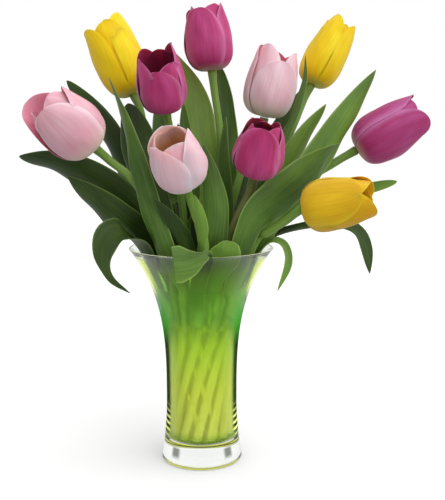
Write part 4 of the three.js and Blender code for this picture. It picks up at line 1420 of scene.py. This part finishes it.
HEART_FINISH = new_material("pistil_tissue_and_dark_pollen")
place = blade_place(HEART_FINISH)
grain = add_node(HEART_FINISH, "ShaderNodeTexNoise", {"Scale": POLLEN_GRAINS_PER_METRE, "Detail": 2})
blend = {0: place["Y"], COLOUR_A: linear("#a9b45a"), COLOUR_B: linear("#ddd58e")}
flesh = add_node(HEART_FINISH, "ShaderNodeMix", blend, **COLOUR_MIX)
blend = {0: grain, COLOUR_A: linear("#2a1c22"), COLOUR_B: linear("#5b4033")}
pollen = add_node(HEART_FINISH, "ShaderNodeMix", blend, **COLOUR_MIX)
blend = {0: place["X"], COLOUR_A: flesh, COLOUR_B: pollen}
colour = add_node(HEART_FINISH, "ShaderNodeMix", blend, **COLOUR_MIX)
bump = add_node(HEART_FINISH, "ShaderNodeBump", {"Strength": 0.4, "Distance": 0.0003, "Height": grain})
look = {"Base Color": colour, "Roughness": 0.65, "Normal": bump}
surface = add_node(HEART_FINISH, "ShaderNodeBsdfPrincipled", look)
add_node(HEART_FINISH, "ShaderNodeOutputMaterial", [surface])
print("finish made:", HEART_FINISH.name)

# %% [markdown]
# Each part of a heart is a small lathe form, as turned from clay. The parts could be sculpted, but
# they are a few millimetres wide and seen only from above. Three lobes come from squeezing the
# pistil's circle three times on its way round, and two from squeezing an anther twice.

# %% Flower hearts
HEART_SIDES = 18
RECEPTACLE_HEIGHT = 4.4
STAMENS = 6
STAMEN_FOOT = 2.5
STAMEN_HEAD = 6.4
STAMEN_TOP = 20
PISTIL_LOBES = 0.12
STIGMA_LOBES = 0.28
ANTHER_LOBES = 0.2


def add_turned(store, profile, turn_to_place, dark, squeeze=None, frame_of=None):
    """Adds a lathe form. frame_of leans it, dark says how much pollen it wears."""
    rings, faces = lathe(profile, HEART_SIDES, closed=False, squeeze=squeeze)
    heights = rings[..., 2] / rings[..., 2].max()
    if frame_of is not None:
        rings = frame_of(rings)
    darkness = np.full(heights.shape, float(dark))
    place = np.stack([darkness, heights, np.zeros_like(heights)], -1)
    store.add(turn_to_place(rings), faces, place, place)


def leaning(start, end):
    """A function that lays an upright form along the line from start to end."""
    start = np.array(start, float)
    axis = unit(np.array(end, float) - start)
    side = unit(np.cross((0, 0, 1.0), axis))
    other = np.cross(axis, side)
    return lambda points: start + points[..., :1] * side + points[..., 1:2] * other + points[..., 2:] * axis


def heart_piece(name, tulip):
    turn_to_place = placing(tulip)
    store = Store()
    disc_floor = RECEPTACLE_HEIGHT + CLEARANCE
    disc = [(2.6, disc_floor), (3.3, disc_floor + 0.3), (3.2, disc_floor + 1), (1.5, disc_floor + 1.3)]
    add_turned(store, disc, turn_to_place, dark=0)
    pistil = [(1.7, disc_floor + 0.5), (2.3, 9), (2.5, 14), (2.2, 18.5), (1.8, 20.4)]
    add_turned(store, pistil, turn_to_place, 0, squeeze=lambda a: 1 + PISTIL_LOBES * np.cos(3 * a))
    stigma = [(1.5, 20), (2.8, 21), (3.4, 22.2), (2.6, 23.2), (0.6, 22.4)]
    add_turned(store, stigma, turn_to_place, 0, squeeze=lambda a: 1 + STIGMA_LOBES * np.cos(3 * a))
    for k in range(STAMENS):
        angle = math.radians(360 / STAMENS * k + 30)
        aside = np.array((math.cos(angle), math.sin(angle), 0))
        start = aside * STAMEN_FOOT + (0, 0, disc_floor + 0.5)
        end = aside * STAMEN_HEAD + (0, 0, STAMEN_TOP)
        lean = leaning(start, end)
        filament = [(0.7, 0), (0.55, 5), (0.4, 9)]
        add_turned(store, filament, turn_to_place, 0, frame_of=lean)
        anther = [(0.4, 7.4), (1.0, 8.2), (1.25, 11), (1.1, 14), (0.7, 15.6), (0.15, 16.2)]
        add_turned(store, anther, turn_to_place, 1, lambda a: 1 + ANTHER_LOBES * np.cos(2 * a), lean)
    return store.piece(name + "_flower_heart", HEART_FINISH, name + "_pistil_stamens", "pistil_stamens")


hearts = [heart_piece(name, tulip) for name, tulip in TULIPS.items()]
print("flower hearts made:", len(hearts))

# %% [markdown]
# ## Lime tinted glass
# The vase is soda-lime glass, pressed in a mould and fire polished: index 1.5 and no roughness at
# all, so every edge is crisp. A lime colour is sprayed on its inner wall. It fades out towards the
# rim and isn't on the thick floor, so both stay clear. The colour runs through its greens from the
# floor up, and one ramp by height gives them. A film could be a second thin mesh, but two skins that
# nearly touch mirror each other. Here one skin says at each point how much film it wears, how high
# it is, and whether it is the outside wall, and the shader reads these three numbers.

# %% Glass with its colours by height
GLASS_INDEX = 1.5
PAINTED_FOOT_GLOW_HEIGHTS = (0.006, 0.026)
TINT_BY_HEIGHT = [
    (0.05, "#ffffff"),
    (0.1, "#5f8f16"),
    (0.13, "#a9c62c"),
    (0.16, "#dce256"),
    (0.35, "#d8e23e"),
    (0.58, "#b4dc26"),
    (0.7, "#7cc232"),
    (0.82, "#8ad22c"),
    (0.95, "#aee03c"),
]

vase_glass = new_material("lime_tinted_glass")
film_here, height, outer_here = blade_place(vase_glass)
tint = add_node(vase_glass, "ShaderNodeValToRGB", [height])
ramp = tint.node.color_ramp
while len(ramp.elements) < len(TINT_BY_HEIGHT):
    ramp.elements.new(0.5)
for element, (share, colour) in zip(ramp.elements, TINT_BY_HEIGHT):
    element.position = share
    element.color = linear(colour)
# Painted light: a thin lime-yellow line in the glass colour at the foot's bottom edge stands for the glow
# that the thick foot shows there.
painted_foot_glow = add_node(vase_glass, "ShaderNodeMapRange", [height, *PAINTED_FOOT_GLOW_HEIGHTS, 1, 0], **EASED)
blend = {0: painted_foot_glow, COLOUR_A: linear("#fbfffa"), COLOUR_B: linear("#cfd41c")}
clear = add_node(vase_glass, "ShaderNodeMix", blend, **COLOUR_MIX)
blend = {0: film_here, COLOUR_A: clear, COLOUR_B: tint}
glass_colour = add_node(vase_glass, "ShaderNodeMix", blend, **COLOUR_MIX)
look = {"Base Color": glass_colour, "Roughness": 0.0, "IOR": GLASS_INDEX, "Transmission Weight": 1.0}
polished = add_node(vase_glass, "ShaderNodeBsdfPrincipled", look)
print("tints by height:", len(ramp.elements))

# %% [markdown]
# The film lets light through and also scatters a part of it, both forwards and back. That is what
# makes the middle of the vase glow where plain glass would only show the stems. It scatters more in
# the upper half, and little at the rim, where it runs out.

# %% The lime film
FILM_RISE = (0.3, 0.58)
FILM_SCATTER_LOW = 0.35
FILM_SCATTER_HIGH = 0.5
FILM_FADE = (0.7, 0.98)
FILM_SCATTER_RIM = 0.3
FILM_BACKWARD_SHARE = 0.6

glow = add_node(vase_glass, "ShaderNodeBsdfTranslucent", [tint])
haze = add_node(vase_glass, "ShaderNodeBsdfDiffuse", [tint])
film = add_node(vase_glass, "ShaderNodeMixShader", [FILM_BACKWARD_SHARE, glow, haze])
film_range = [height, *FILM_RISE, FILM_SCATTER_LOW, FILM_SCATTER_HIGH]
scatter = add_node(vase_glass, "ShaderNodeMapRange", film_range, **EASED)
thinner = add_node(vase_glass, "ShaderNodeMapRange", [height, *FILM_FADE, 1, FILM_SCATTER_RIM], **EASED)
thinned = add_node(vase_glass, "ShaderNodeMath", [scatter, thinner], **TIMES)
film_share = add_node(vase_glass, "ShaderNodeMath", [film_here, thinned], **TIMES)
filmed = add_node(vase_glass, "ShaderNodeMixShader", [film_share, polished, film])
print("film scatters:", FILM_SCATTER_LOW, "to", FILM_SCATTER_HIGH, "and at the rim", FILM_SCATTER_RIM)

# %% [markdown]
# A curved wall seen edge-on bends the light so far that it turns dark: nearly black green low down,
# a clearer green above. True rays would only find that dark in a room with dark things in it, and
# this room is white. So the outside wall turns to a dark paint where it faces away from the eye.
# The Layer Weight node gives that, as it does for gloss. Low down the paint is crossed by bright
# rings, where the thick floor sends light up the wall.

# %% Dark edges and light rings
EDGE_START_HEIGHTS = (0.5, 0.66)
EDGE_START_LOW = 0.46
EDGE_START_HIGH = 0.28
EDGE_FULL = 0.66
EDGE_DEPTH = 0.95
EDGE_GREEN_HEIGHTS = (0.54, 0.68)
LIGHT_RING_MM = 6
LIGHT_RING_WIDTH = (-0.2, 0.8)
LIGHT_RING_START = (0.115, 0.13)
LIGHT_RING_FADE = (0.17, 0.3)
LIGHT_RING_STRENGTH = 0.9

facing = add_node(vase_glass, "ShaderNodeLayerWeight", [0.5], "Facing")
edge_range = [height, *EDGE_START_HEIGHTS, EDGE_START_LOW, EDGE_START_HIGH]
edge_start = add_node(vase_glass, "ShaderNodeMapRange", edge_range, **EASED)
side_on = add_node(vase_glass, "ShaderNodeMapRange", [facing, edge_start, EDGE_FULL, 0, EDGE_DEPTH], **EASED)
dark_edge = add_node(vase_glass, "ShaderNodeMath", [side_on, outer_here], **TIMES)
greener = add_node(vase_glass, "ShaderNodeMapRange", [height, *EDGE_GREEN_HEIGHTS], **EASED)
blend = {0: greener, COLOUR_A: linear("#112c08"), COLOUR_B: linear("#378f22")}
edge_colour = add_node(vase_glass, "ShaderNodeMix", blend, **COLOUR_MIX)
rounds = add_node(
    vase_glass, "ShaderNodeMath", [height, 2 * math.pi * VASE_HEIGHT / LIGHT_RING_MM], **TIMES
)
swing = add_node(vase_glass, "ShaderNodeMath", [rounds], operation="SINE")
bright = add_node(vase_glass, "ShaderNodeMapRange", [swing, *LIGHT_RING_WIDTH], **EASED)
fading = [height, *LIGHT_RING_FADE, LIGHT_RING_STRENGTH, 0]
for level in (fading, [height, *LIGHT_RING_START]):
    level_share = add_node(vase_glass, "ShaderNodeMapRange", level, **EASED)
    bright = add_node(vase_glass, "ShaderNodeMath", [bright, level_share], **TIMES)
blend = {0: bright, COLOUR_A: edge_colour, COLOUR_B: linear("#f2f58a")}
ringed_colour = add_node(vase_glass, "ShaderNodeMix", blend, **COLOUR_MIX)
edge_paint = add_node(vase_glass, "ShaderNodeBsdfDiffuse", [ringed_colour])
print("light rings:", LIGHT_RING_MM, "mm apart")

# %% [markdown]
# The thick clear foot is a lens. It shows two upright dark marks, one to each side, and a thin dark
# ring where the floor's underside mirrors the inside. Both are the same dark paint, laid where the
# wall has a certain height and turns a certain way.

# %% Foot marks and floor ring
FOOT_MARK_DEPTH = 0.72
FOOT_MARK_LEVELS = [
    (facing, 0.18, 0.25),
    (facing, 0.33, 0.41, FOOT_MARK_DEPTH, 0),
    (height, 0.03, 0.055),
    (height, 0.08, 0.094, 1, 0),
]
FLOOR_RING_DEPTH = 0.6
FLOOR_RING_LEVELS = [(height, 0.1, 0.104), (height, 0.107, 0.111, FLOOR_RING_DEPTH, 0)]

for levels in (FOOT_MARK_LEVELS, FLOOR_RING_LEVELS):
    mark = 1
    for level in levels:
        level_share = add_node(vase_glass, "ShaderNodeMapRange", level, **EASED)
        mark = add_node(vase_glass, "ShaderNodeMath", [mark, level_share], **TIMES)
    dark_edge = add_node(vase_glass, "ShaderNodeMath", [dark_edge, mark], **LARGER)
body = add_node(vase_glass, "ShaderNodeMixShader", [dark_edge, filmed, edge_paint])
print("foot marks:", FOOT_MARK_DEPTH, "deep; floor ring:", FLOOR_RING_DEPTH, "deep")

# %% [markdown]
# Three kinds of ray pass the glass without bending. Shadow rays do, or the shadow under glass would
# be black. So do rays at the edges of the thin flare, which in the photo are a clear pale yellow and
# would mirror the dim room here. And so do rays through the small round of the underside that stands
# on the paper, so that the sheet shows in the foot.

# %% Where rays go straight through
FLARE_LEVELS = [(height, 0.72, 0.84), (facing, 0.42, 0.78)]
FLARE_TOP = (0.955, 0.975)
FLARE_CLEARNESS = 0.85
PASSING_TINT = 0.12
GROUND_HEIGHTS = (0.001, 0.003)
GROUND_CONTACT = 0.9

flare_edge = 1
for level in [*FLARE_LEVELS, (height, *FLARE_TOP, FLARE_CLEARNESS, 0)]:
    level_share = add_node(vase_glass, "ShaderNodeMapRange", level, **EASED)
    flare_edge = add_node(vase_glass, "ShaderNodeMath", [flare_edge, level_share], **TIMES)
faint = add_node(vase_glass, "ShaderNodeMath", [film_here, PASSING_TINT], **TIMES)
blend = {0: faint, COLOUR_A: linear("#ffffff"), COLOUR_B: tint}
faint_tint = add_node(vase_glass, "ShaderNodeMix", blend, **COLOUR_MIX)
blend = {0: flare_edge, COLOUR_A: faint_tint, COLOUR_B: linear("#f6fad0")}
passing_colour = add_node(vase_glass, "ShaderNodeMix", blend, **COLOUR_MIX)
passing = add_node(vase_glass, "ShaderNodeBsdfTransparent", [passing_colour])
ground_range = [height, *GROUND_HEIGHTS, GROUND_CONTACT, 0]
near_ground = add_node(vase_glass, "ShaderNodeMapRange", ground_range, **EASED)
ground = add_node(vase_glass, "ShaderNodeMath", [film_here, near_ground], **TIMES)
ray = add_node(vase_glass, "ShaderNodeLightPath").node.outputs
straight = add_node(vase_glass, "ShaderNodeMath", [ray["Is Shadow Ray"], ground], **LARGER)
straight = add_node(vase_glass, "ShaderNodeMath", [straight, flare_edge], **LARGER)
surface = add_node(vase_glass, "ShaderNodeMixShader", [straight, body, passing])
add_node(vase_glass, "ShaderNodeOutputMaterial", [surface])
print("glass nodes:", len(vase_glass.node_tree.nodes))

# %% [markdown]
# ## Still water
# Fresh water in a vase is clear, with an index of 1.33, and its surface is a perfect mirror, so it has
# no roughness either. Its faint warm tone comes from what the stems give off. As with the glass,
# shadow rays pass straight on.

# %% Water finish
WATER_INDEX = 1.33
WATER_COLOUR = linear("#f9fdf0")

vase_water = new_material("still_vase_water")
look = {"Base Color": WATER_COLOUR, "Roughness": 0.0, "IOR": WATER_INDEX, "Transmission Weight": 1.0}
body = add_node(vase_water, "ShaderNodeBsdfPrincipled", look)
passing = add_node(vase_water, "ShaderNodeBsdfTransparent", [WATER_COLOUR])
ray = add_node(vase_water, "ShaderNodeLightPath").node.outputs
surface = add_node(vase_water, "ShaderNodeMixShader", [ray["Is Shadow Ray"], body, passing])
add_node(vase_water, "ShaderNodeOutputMaterial", [surface])
print("water index:", WATER_INDEX)

# %% [markdown]
# ## The vase
# A pressed vase is a body of revolution, so a side view turned about the upright axis gives it. The
# side view runs up the outside, round the lip and down the inside, which makes one closed wall of
# glass. The edges at the foot and the lip are small arcs, because fire polishing rounds them.

# %% Side views of the vase
VASE_SIDES = 144
PROFILE_STEP = 2.0
AXIS_HOLE = 0.01
FOOT_ARC_STEPS = 6
LIP_ARC_STEPS = 9
CORNER_STEPS = 10


def arc(centre, radius, start, end, steps):
    """Points of an arc in the side view, with angles in degrees from straight out."""
    turns = np.radians(np.linspace(start, end, steps))
    return [(centre[0] + radius * math.cos(a), centre[1] + radius * math.sin(a)) for a in turns]


def heights_between(low, high):
    return np.linspace(low, high, max(2, round((high - low) / PROFILE_STEP)))


def inside_profile(top, gap):
    """The inside of the vase from the floor's middle up, a gap away from the glass."""
    corner_top = GLASS_FLOOR + FLOOR_CORNER
    corner = (vase_inner(corner_top) - FLOOR_CORNER, corner_top)
    profile = [(AXIS_HOLE, GLASS_FLOOR + gap)]
    profile += arc(corner, FLOOR_CORNER - gap, -90, 0, CORNER_STEPS)
    profile += [(vase_inner(z) - gap, z) for z in heights_between(corner_top + 1, top)]
    return profile


# %% [markdown]
# Each point of the wall gets its three numbers here: the film is full on the inside from the floor's
# edge up to 182 mm and fades out to the rim, and the outside wall counts from just over the foot up
# to the flare. The round that stands on the paper is marked as film too, at a height where the ramp
# is white.

# %% Vase
FILM_FADE_MM = (182, 203)
FILM_FLOOR_EDGE = (24, 28)
GROUND_RADIUS = 31
ON_PAPER = 0.01
OUTER_START = (0.1, 0.16)
OUTER_END = (0.66, 0.86)


def vase_piece():
    outside = [(AXIS_HOLE, 0), (GROUND_RADIUS - 1, 0), (GROUND_RADIUS, 0)]
    foot_centre = (vase_outer(FOOT_ROUND) - FOOT_ROUND, FOOT_ROUND)
    outside += arc(foot_centre, FOOT_ROUND, -90, 0, FOOT_ARC_STEPS)
    lip_radius = WALL_AT_RIM / 2
    outside += [(vase_outer(z), z) for z in heights_between(FOOT_ROUND + 1, VASE_HEIGHT - 2)]
    lip_centre = (vase_outer(VASE_HEIGHT) - lip_radius, VASE_HEIGHT - lip_radius)
    lip = arc(lip_centre, lip_radius, 15, 165, LIP_ARC_STEPS)
    inside = inside_profile(VASE_HEIGHT - 2, 0)[::-1]
    profile = np.array(outside + lip + inside)
    store = Store()
    rings, faces = lathe(profile, VASE_SIDES, closed=True)
    is_inside = np.arange(len(profile)) >= len(outside) + len(lip)
    radius, level = profile.T
    strength = is_inside * (1 - smooth(level, *FILM_FADE_MM))
    strength *= smooth(radius, *FILM_FLOOR_EDGE)
    strength += (level < ON_PAPER) * (radius < GROUND_RADIUS)
    film_share = np.tile(strength[:, None], (1, VASE_SIDES))
    share_up = rings[..., 2] / VASE_HEIGHT
    is_outer = smooth(share_up, *OUTER_START) * (1 - smooth(share_up, *OUTER_END)) * ~is_inside[:, None]
    place = np.stack([film_share, share_up, is_outer], -1)
    store.add(rings, faces, place, place)
    return store.piece("flared_glass_vase", vase_glass, "vase", "vase_glass")


vase = vase_piece()
print("glass:", len(vase.data.polygons), "faces")

# %% [markdown]
# ## The water
# Where water wets glass there is no air between them. If a gap were left in the mesh, it would turn
# into a mirror, so the water's skin is laid a hair inside the glass. At the top it climbs a little
# where it meets the wall, as water does.

# %% Water
WET_OVERLAP = 0.25
WATER_FLOOR_EDGE = 28
MENISCUS_RISE = 1.2
MENISCUS_WIDTH = 4
MENISCUS_STEPS = 8


def water_piece():
    side = inside_profile(WATER_LEVEL, -WET_OVERLAP)
    wall = [point for point in side if point[0] > WATER_FLOOR_EDGE]
    water_floor = GLASS_FLOOR + CLEARANCE
    bottom = [(AXIS_HOLE, water_floor), (WATER_FLOOR_EDGE - 1, water_floor)]
    edge_radius = wall[-1][0]
    skin = [
        (edge_radius - MENISCUS_WIDTH * s, WATER_LEVEL + MENISCUS_RISE * (1 - s) ** 3)
        for s in np.linspace(0, 1, MENISCUS_STEPS)
    ]
    profile = bottom + wall[:-1] + skin + [(AXIS_HOLE, WATER_LEVEL)]
    store = Store()
    rings, faces = lathe(profile, VASE_SIDES, closed=False)
    place = np.zeros(rings.shape)
    store.add(rings, faces, place, place)
    return store.piece("vase_water", vase_water, "water", "water")


water = water_piece()
print("water:", len(water.data.polygons), "faces")
